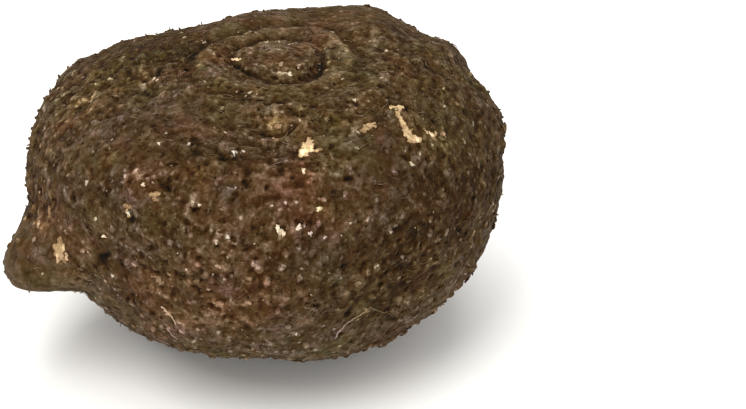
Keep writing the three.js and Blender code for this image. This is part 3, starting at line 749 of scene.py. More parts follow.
# how sunk or proud each point is against its surroundings, used for painted shade in the hollows and painted light on
# the proud points
near = neighbour_mean(SKIN, QUADS, 2)
wide = neighbour_mean(near, QUADS, 10)
SN = vertex_normals(SKIN, QUADS)
fine_cav = ((SKIN - near) * SN).sum(1)
wide_cav = ((near - wide) * SN).sum(1)
RELIEF_SHADING = np.clip(0.5 + 0.9 * fine_cav + 0.42 * wide_cav, 0, 1)


def make_mesh(name, verts_mm, faces, uv=None, smooth=True):
    me = bpy.data.meshes.new(name)
    faces = np.asarray(faces)
    k = faces.shape[1]
    me.vertices.add(len(verts_mm))
    me.vertices.foreach_set("co", (np.asarray(verts_mm) * MM).astype(np.float32).ravel())
    me.loops.add(faces.size)
    me.loops.foreach_set("vertex_index", faces.astype(np.int32).ravel())
    me.polygons.add(len(faces))
    me.polygons.foreach_set("loop_start", (np.arange(len(faces)) * k).astype(np.int32))
    if uv is not None:
        layer = me.uv_layers.new(name="OFBake", do_init=False)
        layer.uv.foreach_set("vector", uv.reshape(-1, 2).astype(np.float32).ravel())
    me.update(calc_edges=True)
    me.validate()
    if smooth:
        me.polygons.foreach_set("use_smooth", np.ones(len(me.polygons), bool))
    ob = bpy.data.objects.new(name, me)
    bpy.context.scene.collection.objects.link(ob)
    return ob


def put(ob, name, values):
    att = ob.data.attributes.new(name, "FLOAT", "POINT")
    att.data.foreach_set("value", np.asarray(values, np.float32))


corm = make_mesh("corm_skin", SKIN, QUADS, UV)
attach(corm, "root")
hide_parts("corm")

# masks for the finish
n_mid = fbm(P0, 15.0, 3, seed=101)
rust = np.clip(
    0.75 * blob(P0, (-46, -86, 124), 12) + 1.0 * blob(P0, (17, -95, 122), 15) + 0.55 * blob(P0, (36, -96, 114), 12)
    + 0.9 * blob(P0, (-50, -88, 71), 14) + 0.6 * blob(P0, (4, -106, 78), 18) + 0.5 * blob(P0, (-20, -103, 79), 13) + 0.35 * blob(P0, (-12, -102, 64), 9) + 0.35 * blob(P0, (-24, -3, 148), 8)
    + 0.5 * blob(P0, (30, 30, 150), 14) + 0.5 * blob(P0, (62, -20, 141), 9)
    + 0.5 * blob(P0, (96, 42, 84), 20) + 0.6 * blob(P0, (-30, 92, 96), 22) + 0.5 * blob(P0, (44, 82, 112), 18)
    + 0.3 * blob(P0, (-10, -92, 127), 9) + 0.3 * blob(P0, (-22, -96, 121), 9) + 0.3 * blob(P0, (-9, -105, 99), 11)
    + 0.3 * blob(P0, (70, -55, 131), 8) + 0.6 * blob(P0, (-96, -42, 90), 14) + 0.25 * blob(P0, (-30, -92, 60), 14) + 0.75 * blob(P0, (-88, -68, 90), 13), 0, 1)
rust = np.clip(rust * (0.85 + 1.0 * n_mid) + 0.55 * sstep(0.10, 0.50, fbm(P0, 26.0, 3, seed=103)), 0, 1)
mauve = np.clip(
    1.0 * blob(P0, (-37, -55, 141), 24) + 0.9 * blob(P0, (-61, -45, 136), 20) + 0.7 * blob(P0, (-14, -58, 143), 14)
    + 0.9 * blob(P0, (-82, -66, 106), 26) + 0.7 * blob(P0, (30, -102, 93), 20) + 0.6 * blob(P0, (-21, -102, 108), 12)
    + 1.1 * blob(P0, (-99, -65, 77), 9) + 0.8 * blob(P0, (-107, -63, 66), 7) + 1.0 * blob(P0, (55, -73, 127), 17) + 0.5 * blob(P0, (10, 40, 148), 20)
    + 0.6 * blob(P0, (20, -104, 60), 18) + 0.5 * blob(P0, (-20, -103, 82), 12)
    + 0.5 * blob(P0, (-56, -87, 114), 15) + 0.5 * blob(P0, (-39, -97, 107), 15) + 0.45 * blob(P0, (-2, -97, 121), 13)
    + 0.5 * blob(P0, (-32, -81, 134), 14) + 0.35 * blob(P0, (2, -96, 122), 14) + 0.5 * blob(P0, (61, -77, 122), 14)
    + 0.4 * blob(P0, (-10, -99, 117), 12) + 0.5 * blob(P0, (81, -70, 102), 14) + 0.5 * blob(P0, (54, -76, 126), 12)
    + 0.7 * blob(P0, (60, 70, 110), 26) + 0.6 * blob(P0, (-60, 78, 90), 24) + 0.5 * blob(P0, (100, 0, 80), 20), 0, 1)
mauve = np.clip(mauve * (0.9 + 0.7 * n_mid) + 0.5 * sstep(0.12, 0.5, fbm(P0, 33.0, 3, seed=105)), 0, 1)
mauve = np.clip(0.68 * mauve + 0.60 * blob(P0, (56, -76, 124), 16) + 0.35 * blob(P0, (80, -70, 103), 16)
                + 0.35 * blob(P0, (-33, -84, 132), 13) + 0.28 * blob(P0, (-56, -87, 113), 13) + 0.28 * blob(P0, (8, -100, 114), 15)
                + 0.20 * blob(P0, (-84, -50, 112), 12) + 0.45 * blob(P0, (28, -102, 86), 15)
                + 0.28 * blob(P0, (-56, -89, 103), 13) + 0.25 * blob(P0, (-34, -88, 128), 10) + 0.25 * blob(P0, (62, -86, 98), 14)
                + 0.22 * blob(P0, (30, -98, 111), 12) + 0.22 * blob(P0, (42, -98, 99), 12) + 0.22 * blob(P0, (-5, -102, 111), 13), 0, 1)
mauve *= 1 - 0.9 * blob(P0, (10, -64, 140), 9)
tan = np.clip(
    0.8 * blob(P0, (-79, -28, 131), 9) + 0.5 * blob(P0, (-88, -33, 124), 10) + 0.5 * blob(P0, (-69, -16, 137), 10)
    + 0.9 * blob(P0, (-104, -40, 87), 9) + 0.55 * blob(P0, (-98, -52, 92), 9) + 1.0 * blob(P0, (-96, -56, 90), 8) + 0.5 * blob(P0, (-94, -46, 109), 9) + 0.8 * blob(P0, (-26, -6, 148), 6)
    + 1.2 * blob(P0, (10, -66, 139), 7) + 0.7 * blob(P0, (-22, -90, 128), 9) + 0.6 * blob(P0, (38, -10, 148), 7)
    + 0.4 * blob(P0, (-112, -50, 72), 8) + 0.6 * blob(P0, (20, 78, 134), 12) + 0.6 * blob(P0, (98, -8, 112), 10)
    + 0.5 * blob(P0, (46, -88, 60), 8) + 0.35 * blob(P0, (-85, -16, 130), 15) + 0.28 * blob(P0, (-102, -60, 78), 12)
    + 0.30 * blob(P0, (36, 16, 147), 15) + 0.25 * blob(P0, (80, -44, 130), 10)
    + 0.6 * blob(P0, (-92, 30, 104), 11) + 0.6 * blob(P0, (70, 68, 66), 11), 0, 1)
tan = np.clip(tan * (0.7 + 2.2 * fbm(P0, 5.5, 2, seed=107)), 0, 1)
olive = np.clip(0.8 * sstep(0.05, 0.45, fbm(P0, 24.0, 3, seed=109)) + 0.8 * blob(P0, (41, -12, 148), 13)
                + 0.6 * blob(P0, (12, -45, 147), 10) + 0.3 * blob(P0, (74, -28, 138), 22)
                + 0.25 * blob(P0, (-70, -11, 138), 13) + 0.6 * blob(P0, (-43, 6, 146), 13) + 0.25 * blob(P0, (87, -39, 128), 15)
                + 0.6 * blob(P0, (-60, 10, 140), 26) + 0.5 * blob(P0, (50, -88, 60), 16)
                + 0.6 * blob(P0, (-98, -66, 61), 9), 0, 1)
# darker in the pits and dark marks; painted shade in the creases, in the groove round the bud disc and the ring beyond
# it, and round each root scar's foot; broad regions darker or lighter, in part painted shade and painted light
dark_marks_and_shade = np.clip(
    0.80 * blob(P0, (-42, 8, 145), 22) + 0.2 * blob(P0, (-46, -88, 120), 14) + 0.22 * blob(P0, (100, -25, 112), 18) + 0.12 * blob(P0, (30, -98, 80), 22) + 0.15 * blob(P0, (55, -72, 128), 12) + 0.38 * blob(P0, (74, -76, 92), 24) + 0.34 * blob(P0, (92, -50, 98), 24)
    + 0.18 * blob(P0, (-104, -28, 100), 20)
    + 0.75 * blob(P0, (-68, -80, 82), 5) + 0.35 * blob(P0, (-24, -82, 134), 9) + 0.35 * blob(P0, (60, -86, 70), 22)
    + 0.5 * blob(P0, (-46, 82, 60), 20) + 0.4 * blob(P0, (92, 50, 60), 20)
    + 0.75 * groove + 0.95 * pit_mark + 0.45 * pit
    + 0.85 * top * np.exp(-((rho - mid) / (0.75 * round_curve(GROOVE_WIDE, ang))) ** 2) * np.clip((deep - 0.9) / 2.4, 0, 1)
    + 0.35 * top * np.exp(-((rho - 43.0) / 3.0) ** 2) * (0.5 + 0.5 * np.cos(ang - 1.75))
    + 0.22 * scar_foot_shade
    + 0.28 * blob(P0, (-31, -80, 135), 17) + 0.26 * blob(P0, (-11, -98, 120), 16) + 0.22 * blob(P0, (10, -106, 100), 14)
    + 0.34 * blob(P0, (31, -101, 81), 12) + 0.25 * blob(P0, (80, -72, 98), 11) + 0.22 * blob(P0, (-90, -40, 119), 12)
    + 0.16 * blob(P0, (55, -76, 126), 14) + 0.30 * blob(P0, (42, -55, 142), 8) + 0.22 * blob(P0, (-84, -8, 132), 10)
    + 0.50 * blob(P0, (-109, -61, 69), 10) + 0.22 * blob(P0, (-49, -92, 93), 13) + 0.25 * blob(P0, (60, -82, 66), 12)
    - 0.60 * blob(P0, (-4, 12, 147), 16) - 0.55 * blob(P0, (-80, -67, 61), 12) - 0.38 * blob(P0, (-32, -95, 61), 14)
    - 0.80 * blob(P0, (-93, -60, 92), 9) - 0.18 * blob(P0, (32, 45, 147), 22) - 0.16 * blob(P0, (-4, 48, 147), 18)
    - 0.38 * blob(P0, (-22, -90, 128), 9) - 0.42 * blob(P0, (17, -96, 121), 10) - 0.30 * blob(P0, (3, -73, 136), 10)
    - 0.35 * blob(P0, (82, -68, 85), 11) - 0.30 * blob(P0, (42, -95, 78), 9) - 0.28 * blob(P0, (28, -39, 147), 9)
    + 0.32 * blob(P0, (-36, -86, 131), 8) + 0.24 * blob(P0, (-9, -79, 134), 9) + 0.26 * blob(P0, (23, -100, 112), 8) + 0.22 * blob(P0, (82, -57, 123), 10)
    + 0.24 * blob(P0, (-10, -104, 72), 9) + 0.30 * blob(P0, (55, -71, 42), 12), -0.6, 1)
crown = disc + 0.75 * top * np.exp(-((rho - 34.0) / 4.5) ** 2)
seat = np.where(low, 1.0, sstep(9, 0.5, P0[:, 2]))
# the mask for the lower skin carries painted bounce light, the cavity mask painted shade in hollows and painted light
# on proud points, and the dark mask dark marks with painted shade
MASKS = {"relief_shading": RELIEF_SHADING, "rust": rust, "mauve": mauve, "tan": tan, "olive": olive, "dark_marks_and_shade": dark_marks_and_shade,
         "crown": np.clip(crown, 0, 1), "calm": np.clip(calm + 0.52 * sstep(98, 52, P0[:, 2]) * (1 - 0.7 * blob(P0, (68, -76, 72), 26)), 0, 1), "seat": seat,
         "pale": np.clip(pale_mark, 0, 1.3), "zone": scar_zone(P0, KNOB),
         "rings": np.clip((1 - sstep(70, 118, far)) * (1 - 0.6 * disc), 0, 1),
         "low": sstep(80, 34, P0[:, 2]) * (1 - low), "rim": rim_mark}
for name, vals in MASKS.items():
    put(corm, name, vals)
FLOW = np.stack([far + wob, 26 * np.cos(ang), 26 * np.sin(ang)], 1)


def put_flow(ob, vals):
    att = ob.data.attributes.new("flow", "FLOAT_VECTOR", "POINT")
    att.data.foreach_set("vector", np.asarray(vals, np.float32).ravel())


put_flow(corm, FLOW)
REST = P0
att = corm.data.attributes.new("rest", "FLOAT_VECTOR", "POINT")
att.data.foreach_set("vector", REST.astype(np.float32).ravel())

BVH = BVHTree.FromPolygons([tuple(v) for v in SKIN], [tuple(int(i) for i in q) for q in QUADS])
CORE = Vector(here(0, 0, CZ))


def on_skin(d):
    """The skin's point and outward normal along a direction from the core, mm."""
    d = Vector(d).normalized()
    hit, n, _, _ = BVH.ray_cast(CORE + d * 260.0, -d)
    if n.dot(d) < 0:
        n = -n
    return hit, n


class Pile:
    """Many small closed pieces gathered in one mesh."""

    def __init__(self):
        self.v, self.f, self.a, self.b = [], [], [], []
        self.n = 0

    def add(self, verts, tris, a, b):
        self.v.append(np.asarray(verts, float))
        self.f.append(np.asarray(tris, int) + self.n)
        self.a.append(np.asarray(a, float))
        self.b.append(np.full(len(verts), float(b)))
        self.n += len(verts)

    def tube(self, pts, radii, sides, tone, a=None):
        pts = [np.asarray(p, float) for p in pts]
        verts, vals = [], []
        up = None
        for k, (p, r) in enumerate(zip(pts, radii)):
            t = pts[min(k + 1, len(pts) - 1)] - pts[max(k - 1, 0)]
            t /= np.linalg.norm(t)
            if up is None:
                up = np.cross(t, (0.31, 0.52, 0.79))
            up = up - t * (up @ t)
            up /= np.linalg.norm(up)
            side = np.cross(t, up)
            for s in range(sides):
                w = 2 * math.pi * s / sides
                verts.append(p + r * (math.cos(w) * up + math.sin(w) * side))
                vals.append(k / (len(pts) - 1) if a is None else a)
        tris = []
        m = len(pts)
        for k in range(m - 1):
            for s in range(sides):
                q, w = k * sides + s, k * sides + (s + 1) % sides
                tris += [(q, w, w + sides), (q, w + sides, q + sides)]
        for s in range(1, sides - 1):
            tris.append((0, s + 1, s))
            e = (m - 1) * sides
            tris.append((e, e + s, e + s + 1))
        self.add(verts, tris, vals, tone)

    def build(self, name):
        ob = make_mesh(name, np.concatenate(self.v), np.concatenate(self.f))
        put(ob, "along", np.concatenate(self.a))
        put(ob, "tone", np.concatenate(self.b))
        near_by = [kd.find(Vector(v))[1] for v in np.concatenate(self.v)]
        for m in MASKS:
            put(ob, m, MASKS[m][near_by])
        put_flow(ob, FLOW[near_by])
        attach(ob, "root")
        return ob


def basis(n):
    n = np.array(n, float)
    t = np.cross(n, (0.2, 0.9, 0.4))
    t /= np.linalg.norm(t)
    return t, np.cross(n, t), n


# ---- root scars: low rough domes, many with a sunk middle
rs = np.random.RandomState(2211)
scars = Pile()
clear_of = stroke_field(SCAR_P)[1] > 1.7
for d, R, free in zip(SCAR_D, SCAR_R, clear_of):
    hit, n = on_skin(d)
    if hit.z < 1.2 or not free:
        continue
    t, b, n = basis(n)
    seg = 10
    tall = R * rs.uniform(0.20, 0.44)
    dim = rs.uniform(0.0, 0.55) * (rs.uniform() < 0.55)
    lean = rs.normal(scale=0.10, size=2)
    ph, wav = rs.uniform(0, 6.28, 3), rs.uniform(0.05, 0.17, 3)
    stretch = rs.uniform(0.72, 1.35)
    verts, vals = [], []
    for f, h in ((1.18, -0.45), (1.0, 0.10), (0.80, 0.62), (0.50, 0.95), (0.24, 1.0 - 0.45 * dim)):
        for s in range(seg):
            w = 2 * math.pi * s / seg
            r = R * f * (1 + sum(wv * math.cos((q + 2) * w + p) for q, (wv, p) in enumerate(zip(wav, ph))))
            x, y = r * math.cos(w) * stretch, r * math.sin(w) / stretch
            z = tall * h + (lean[0] * x + lean[1] * y) + rs.normal(scale=0.05)
            if f > 1.1:
                z = -0.55
            verts.append(np.array(hit) + t * x + b * y + n * z)
            vals.append(max(0.0, h))
    verts.append(np.array(hit) + n * tall * (1.0 - dim))
    vals.append(1.0 - 0.8 * dim)
    verts.append(np.array(hit) - n * 0.7)
    vals.append(0.0)
    tris = []
    for k in range(4):
        for s in range(seg):
            q, w = k * seg + s, k * seg + (s + 1) % seg
            tris += [(q, w, w + seg), (q, w + seg, q + seg)]
    for s in range(seg):
        tris.append((4 * seg + s, 4 * seg + (s + 1) % seg, 5 * seg))
        tris.append(((s + 1) % seg, s, 5 * seg + 1))
    verts = np.array(verts)
    verts[:, 2] = np.maximum(verts[:, 2], 0.05)
    scars.add(verts, tris, vals, rs.uniform())
scar_ob = scars.build("root_scars")

# ---- places where the skin is broken and the pale tissue shows: thin ragged shells
STEP, EDGE = 0.30, 0.14
tissue = Pile()
left = list(range(len(PATCHES)))
while left:
    group, todo = [], [left.pop(0)]
    while todo:
        i = todo.pop()
        group.append(i)
        a0, b0 = np.array(PATCHES[i][0]), np.array(PATCHES[i][1])
        for j in list(left):
            a1, b1 = np.array(PATCHES[j][0]), np.array(PATCHES[j][1])
            if min(np.linalg.norm(u - v) for u in (a0, b0, (a0 + b0) / 2) for v in (a1, b1, (a1 + b1) / 2)) < 4.5:
                left.remove(j)
                todo.append(j)
    items = [PATCHES[i] for i in group]
    ends = np.array([here(*e) for it in items for e in it[:2]])
    hit, n = on_skin(ends.mean(0) - np.array(CORE))
    t, b, n = basis(n)
    flat_to = (ends - np.array(hit)) @ np.stack([t, b], 1)
    lo2, hi2 = flat_to.min(0) - 3.4, flat_to.max(0) + 3.4
    us, vs = np.arange(lo2[0], hi2[0], STEP), np.arange(lo2[1], hi2[1], STEP)
    nu, nv = len(us), len(vs)
    grid = np.array(hit) + us[:, None, None] * t + vs[None, :, None] * b
    way = (grid - np.array(CORE)).reshape(-1, 3)
    way /= np.linalg.norm(way, axis=1)[:, None]
    rest_at = skin(way)[0] + SHIFT
    amt, _ = stroke_field(rest_at, items)
    amt = amt.reshape(nu, nv)
    inside = amt > EDGE
    if not inside.any():
        continue
    cell = inside[:-1, :-1] | inside[1:, :-1] | inside[:-1, 1:] | inside[1:, 1:]
    while True:
        c00, c10, c01, c11 = cell[:-1, :-1], cell[1:, :-1], cell[:-1, 1:], cell[1:, 1:]
        bad = (c00 & c11 & ~c10 & ~c01) | (c10 & c01 & ~c00 & ~c11)
        if not bad.any():
            break
        for part in (c00, c10, c01, c11):
            part |= bad
    used = np.zeros((nu, nv), bool)
    for dx, dy in ((0, 0), (1, 0), (0, 1), (1, 1)):
        used[dx:nu - 1 + dx, dy:nv - 1 + dy] |= cell
    at = np.zeros((nu, nv, 3))
    out = np.zeros((nu, nv, 3))
    for i, j in zip(*np.nonzero(used)):
        h2, n2 = on_skin(way[i * nv + j])
        at[i, j], out[i, j] = h2, n2
    snapped = at.copy()
    for i, j in zip(*np.nonzero(used & ~inside)):
        best, who_in = EDGE, None
        for di in (-1, 0, 1):
            for dj in (-1, 0, 1):
                k, m = i + di, j + dj
                if 0 <= k < nu and 0 <= m < nv and inside[k, m] and amt[k, m] > best:
                    best, who_in = amt[k, m], (k, m)
        if who_in is not None:
            snapped[i, j] = at[who_in] + (at[i, j] - at[who_in]) * (best - EDGE) / (best - amt[i, j] + 1e-9)
    for _ in range(3):       # one even normal over each few cells
        pad = np.pad(out, ((1, 1), (1, 1), (0, 0)))
        out = (pad[:-2, 1:-1] + pad[2:, 1:-1] + pad[1:-1, :-2] + pad[1:-1, 2:] + out) * used[..., None]
        out /= np.maximum(np.linalg.norm(out, axis=2), 1e-9)[..., None]
    bumpy = perlin(rest_at / 1.3, 161).reshape(nu, nv)
    high = np.where(inside, 0.10 + 0.10 * sstep(EDGE, EDGE + 0.3, amt) + 0.16 * np.clip(bumpy, -0.3, 0.6), -0.14)
    number = np.full((nu, nv), -1)
    number[used] = np.arange(used.sum())
    count = int(used.sum())
    above = (snapped + out * high[..., None])[used]
    below = (snapped - out * 0.75)[used]
    tris, edges = [], {}
    for i, j in zip(*np.nonzero(cell)):
        a, b2, c, d = number[i, j], number[i + 1, j], number[i + 1, j + 1], number[i, j + 1]
        tris += [(a, b2, c), (a, c, d), (a + count, c + count, b2 + count), (a + count, d + count, c + count)]
        for e in ((a, b2), (b2, c), (c, d), (d, a)):
            edges[e] = True
    for a, b2 in edges:
        if (b2, a) not in edges:
            tris += [(a + count, b2 + count, b2), (a + count, b2, a)]
    shell_amt = np.where(inside, amt, EDGE)[used]
    tissue.add(np.concatenate([above, below]), tris, np.concatenate([shell_amt, shell_amt * 0]), 0.0)
tissue_ob = tissue.build("bare_tissue")

# ---- matted fibres lying round the crown
fibres = Pile()


def strand(d, heading, length, r0, lift, tone, steps=4, sides=4, curl=0.0, droop=0.6):
    """A short fibre that follows the skin from d, heading along a tangent."""
    hit, n = on_skin(d)
    p = np.array(hit)
    heading = np.asarray(heading, float)
    pts, rad = [], []
    for k in range(steps + 1):
        u = k / steps
        q = p - np.array(CORE)
        h2, n2 = on_skin(q)
        n2 = np.array(n2)
        arch = lift * math.sin(math.pi * min(u * 1.15, 1)) * droop + lift * u * (1 - droop)
        pts.append(np.array(h2) + n2 * (r0 * 0.35 + arch))
        rad.append(r0 * (1 - 0.62 * u ** 1.5))
        heading = heading - n2 * (heading @ n2)
        heading /= np.linalg.norm(heading)
        heading = heading + curl * np.cross(n2, heading)
        heading /= np.linalg.norm(heading)
        p = pts[-1] + heading * (length / steps)
    pts = np.array(pts)
    pts[:, 2] = np.maximum(pts[:, 2], r0 + 0.05)
    fibres.tube(pts, rad, sides, tone)


rf = np.random.RandomState(77)
bud_at = here(BUD[0], BUD[1], 150)
count = 0
while count < (520):
    w, q = rf.uniform(0, 2 * np.pi), 27 + 76 * rf.beta(1.4, 1.5)
    x, y = BUD[0] + q * math.cos(w), BUD[1] + q * math.sin(w)
    d = np.array([x, y, 62.0])
    d /= np.linalg.norm(d)
    if rf.uniform() < 0.2 and q < 40:
        continue
    round_it = np.array([-math.sin(w), math.cos(w), 0.0]) * (1 if rf.uniform() < 0.5 else -1)
    head = round_it + rf.normal(scale=0.33, size=3)
    strand(d, head, rf.uniform(2.0, 6.0), rf.uniform(0.14, 0.30), rf.uniform(0.0, 0.40), 0.35 + 0.45 * rf.uniform(),
           steps=3, curl=rf.normal(scale=0.18))
    count += 1

# stray rootlets over the flanks
count = 0
while count < (430):
    d = rf.normal(size=3)
    d /= np.linalg.norm(d)
    if d[2] > 0.72 or d[2] < -0.62:
        continue
    hit, n = on_skin(d)
    if hit.z < 3:
        continue
    head = np.cross(np.array(n), rf.normal(size=3))
    strand(d, head, rf.uniform(2.0, 6.5), rf.uniform(0.14, 0.28), rf.uniform(0.0, 0.6), 0.30 + 0.50 * rf.uniform(),
           steps=4, curl=rf.normal(scale=0.35))
    count += 1

# the longer tan ones low on the front
LONG = [
    ([(-41.1, -92.4, 65.0), (-39.7, -92.8, 63.5), (-37.4, -93.3, 61.3), (-34.8, -93.7, 58.6), (-34.3, -93.4, 56.8)], 0.58, 0.99),
    ([(-39.0, -90.3, 52.9), (-37.5, -89.6, 49.4), (-35.0, -89.1, 46.6)], 0.50, 0.90),
    ([(34.7, -86.4, 45.0), (36.3, -87.7, 49.3), (38.2, -87.5, 51.2), (40.4, -87.1, 53.1), (42.8, -86.3, 54.8),
      (45.0, -85.9, 57.0), (47.1, -85.3, 58.8), (49.8, -84.1, 60.1)], 0.46, 0.93),
    ([(49.8, -84.1, 60.1), (56.9, -74.8, 51.0), (60.2, -72.1, 50.5), (63.4, -68.4, 48.3)], 0.36, 0.80),
    ([(22.2, -102.7, 70.4), (24.8, -101.5, 68.9), (27.2, -100.0, 66.8)], 0.34, 0.84),
    ([(84.0, 50.0, 50.0), (76.0, 60.0, 47.0), (68.0, 66.0, 48.0), (60.0, 72.0, 44.0)], 0.5, 0.92),
    ([(-30.0, 94.0, 62.0), (-22.0, 97.0, 58.0), (-14.0, 98.0, 60.0)], 0.5, 0.88),
    ([(98.0, -10.0, 52.0), (96.0, 2.0, 48.0), (94.0, 12.0, 50.0)], 0.42, 0.9),
]
for pts, r, tone in LONG:
    run = []
    for a, b in zip(pts[:-1], pts[1:]):
        for u in (0, 1 / 3, 2 / 3):
            run.append(np.array(a) * (1 - u) + np.array(b) * u)
    run.append(np.array(pts[-1]))
    line = []
    for k, q in enumerate(run):
        h2, n2 = on_skin(q - np.array([0, 0, CZ]))
        line.append(np.array(h2) + np.array(n2) * (r * 0.6 + 0.35 * math.sin(k * 1.3) ** 2))
    fibres.tube(line, [r * (0.75 + 0.25 * math.sin(2.1 * k)) * (1 - 0.5 * k / len(line)) for k in range(len(line))], 6, tone)
fibre_ob = fibres.build("rootlets")

# ---- broken root stubs that stand out of the skin
stubs = Pile()
count = 0
while count < (330):
    d = rf.normal(size=3)
    d /= np.linalg.norm(d)
    if d[2] < -0.5 or (d[2] > 0.6 and rf.uniform() < 0.6):
        continue
    hit, n = on_skin(d)
    if hit.z < 4:
        continue
    n = np.array(n) + rf.normal(scale=0.35, size=3)
    n /= np.linalg.norm(n)
    bend = rf.normal(scale=0.25, size=3)
    L, r = rf.uniform(0.9, 2.6), rf.uniform(0.26, 0.52)
    p = np.array(hit) - n * 0.5
    stubs.tube([p, p + n * (0.5 + L * 0.45), p + n * (0.5 + L * 0.8) + bend * L * 0.2, p + n * (0.5 + L) + bend * L * 0.4],
               [r * 1.25, r, r * 0.8, r * 0.35], 6, rf.uniform())
    count += 1
EDGE_STUBS = [(-96, 36, 124), (-99, 31, 121), (-104, 24, 117), (-106, 20, 115), (-108, 12, 112), (-109, 9, 110), (-110, 3, 107),
              (-111, -2, 104), (-111, -6, 101), (-111, -11, 97), (-111, -13, 94), (-111, -16, 91), (-111, -18, 87),
              (-110, -20, 83), (102, 29, 123), (107, 19, 119), (113, 7, 111), (114, 2, 104), (-8, 54, 147), (-2, 55, 147)]
for at in EDGE_STUBS:
    hit, n = on_skin(here(*at) - np.array(CORE))
    n = np.array(n) + rf.normal(scale=0.25, size=3)
    n /= np.linalg.norm(n)
    L, r = rf.uniform(0.6, 1.5), rf.uniform(0.46, 0.78)
    p = np.array(hit) - n * 0.5
    bend = rf.normal(scale=0.3, size=3)
    stubs.tube([p, p + n * (0.5 + L * 0.45), p + n * (0.5 + L * 0.8) + bend * L * 0.2, p + n * (0.5 + L) + bend * L * 0.4],
               [r * 1.35, r * 1.1, r, r * 0.6], 7, rf.uniform())
stub_ob = stubs.build("root_stubs")

# ---- flakes of dried skin, thin and lifted along one edge; the palest are partly painted glints
flakes = Pile()
# pale flecks, the brightest partly painted glints, among them two on the bud disc's front rim
FLECKS_AND_GLINTS = [
    ((-40.2, -75.4, 135.6), 1.1, 0.95), ((-27.0, -77.2, 136.5), 0.8, 0.70), ((-46.4, -89.4, 123.1), 1.0, 1.00),
    ((-53.0, -90.2, 109.7), 1.0, 0.95), ((-65.4, -83.3, 95.1), 1.3, 0.90), ((-69.1, -80.9, 102.0), 0.8, 0.80),
    ((-73.4, -72.3, 115.7), 1.0, 0.55), ((-63.2, -81.7, 74.2), 0.8, 0.75), ((-67.9, -77.1, 69.0), 0.8, 0.50),
    ((-7.7, -79.2, 133.6), 1.0, 1.00), ((-6.8, -79.1, 133.5), 0.8, 0.50), ((22.2, -85.4, 127.6), 0.9, 0.90),
    ((28.8, -97.1, 115.2), 1.0, 0.95), ((29.8, -96.6, 115.4), 0.7, 0.70), ((11.6, -103.4, 109.4), 1.2, 0.95),
    ((12.5, -103.7, 108.2), 1.0, 0.85), ((14.1, -103.9, 107.0), 1.0, 0.85), ((20.5, -102.1, 109.4), 1.2, 0.90),
    ((25.3, -102.1, 106.1), 1.2, 0.75), ((31.2, -101.1, 103.9), 0.9, 0.75), ((69.0, -70.0, 123.3), 0.9, 0.85),
    ((72.6, -64.4, 125.6), 0.7, 0.60), ((14.2, -24.0, 146.9), 1.0, 1.00), ((9.4, -23.5, 147.3), 0.9, 0.70),
    ((-53.9, -83.7, 124.2), 0.7, 0.70), ((-24.2, -97.6, 118.7), 0.8, 0.70), ((-9.4, -104.7, 106.0), 0.9, 0.75),
    ((18.2, -98.0, 53.7), 0.8, 0.70), ((53.5, -89.5, 84.0), 0.7, 0.70), ((-48.1, -19.2, 142.2), 0.7, 0.85),
    ((-46.4, -21.1, 142.4), 0.7, 0.80), ((-69.8, -10.0, 138.2), 0.7, 0.70), ((-52.6, -21.6, 140.2), 0.7, 0.65),
    ((-74.8, -31.6, 132.2), 0.7, 0.65), ((7.8, -64.7, 138.7), 0.7, 0.60), ((20.1, -62.6, 140.7), 0.6, 0.65),
    ((58.8, 3.3, 147.3), 0.7, 0.60), ((44.0, -48.8, 144.6), 0.7, 0.70), ((-21.6, -3.0, 147.4), 0.6, 0.55),
    ((-14.6, -104.9, 103.1), 0.6, 0.70), ((-3.5, -78.3, 133.4), 0.6, 0.50), ((9.3, -99.1, 118.0), 0.7, 0.60),
    ((15.1, -97.9, 118.8), 0.6, 0.55), ((19.5, -97.2, 118.6), 0.7, 0.60), ((42.4, -96.1, 108.1), 0.7, 0.60),
    ((-99.5, -55.5, 86.3), 0.8, 0.70), ((78.1, -57.2, 126.6), 0.6, 0.55), ((84.1, -30.5, 133.3), 0.7, 0.60),
]
spots = [(np.array(p) - (0, 0, CZ), 1.38 * r, t) for p, r, t in FLECKS_AND_GLINTS]
rg = np.random.RandomState(5150)
while len(spots) < (520):
    d = rg.normal(size=3)
    d /= np.linalg.norm(d)
    if d[2] < -0.6:
        continue
    big = rg.uniform() < 0.18
    spots.append((d, rg.uniform(0.9, 1.5) if big else rg.uniform(0.35, 0.85), rg.beta(1.1, 2.6)))
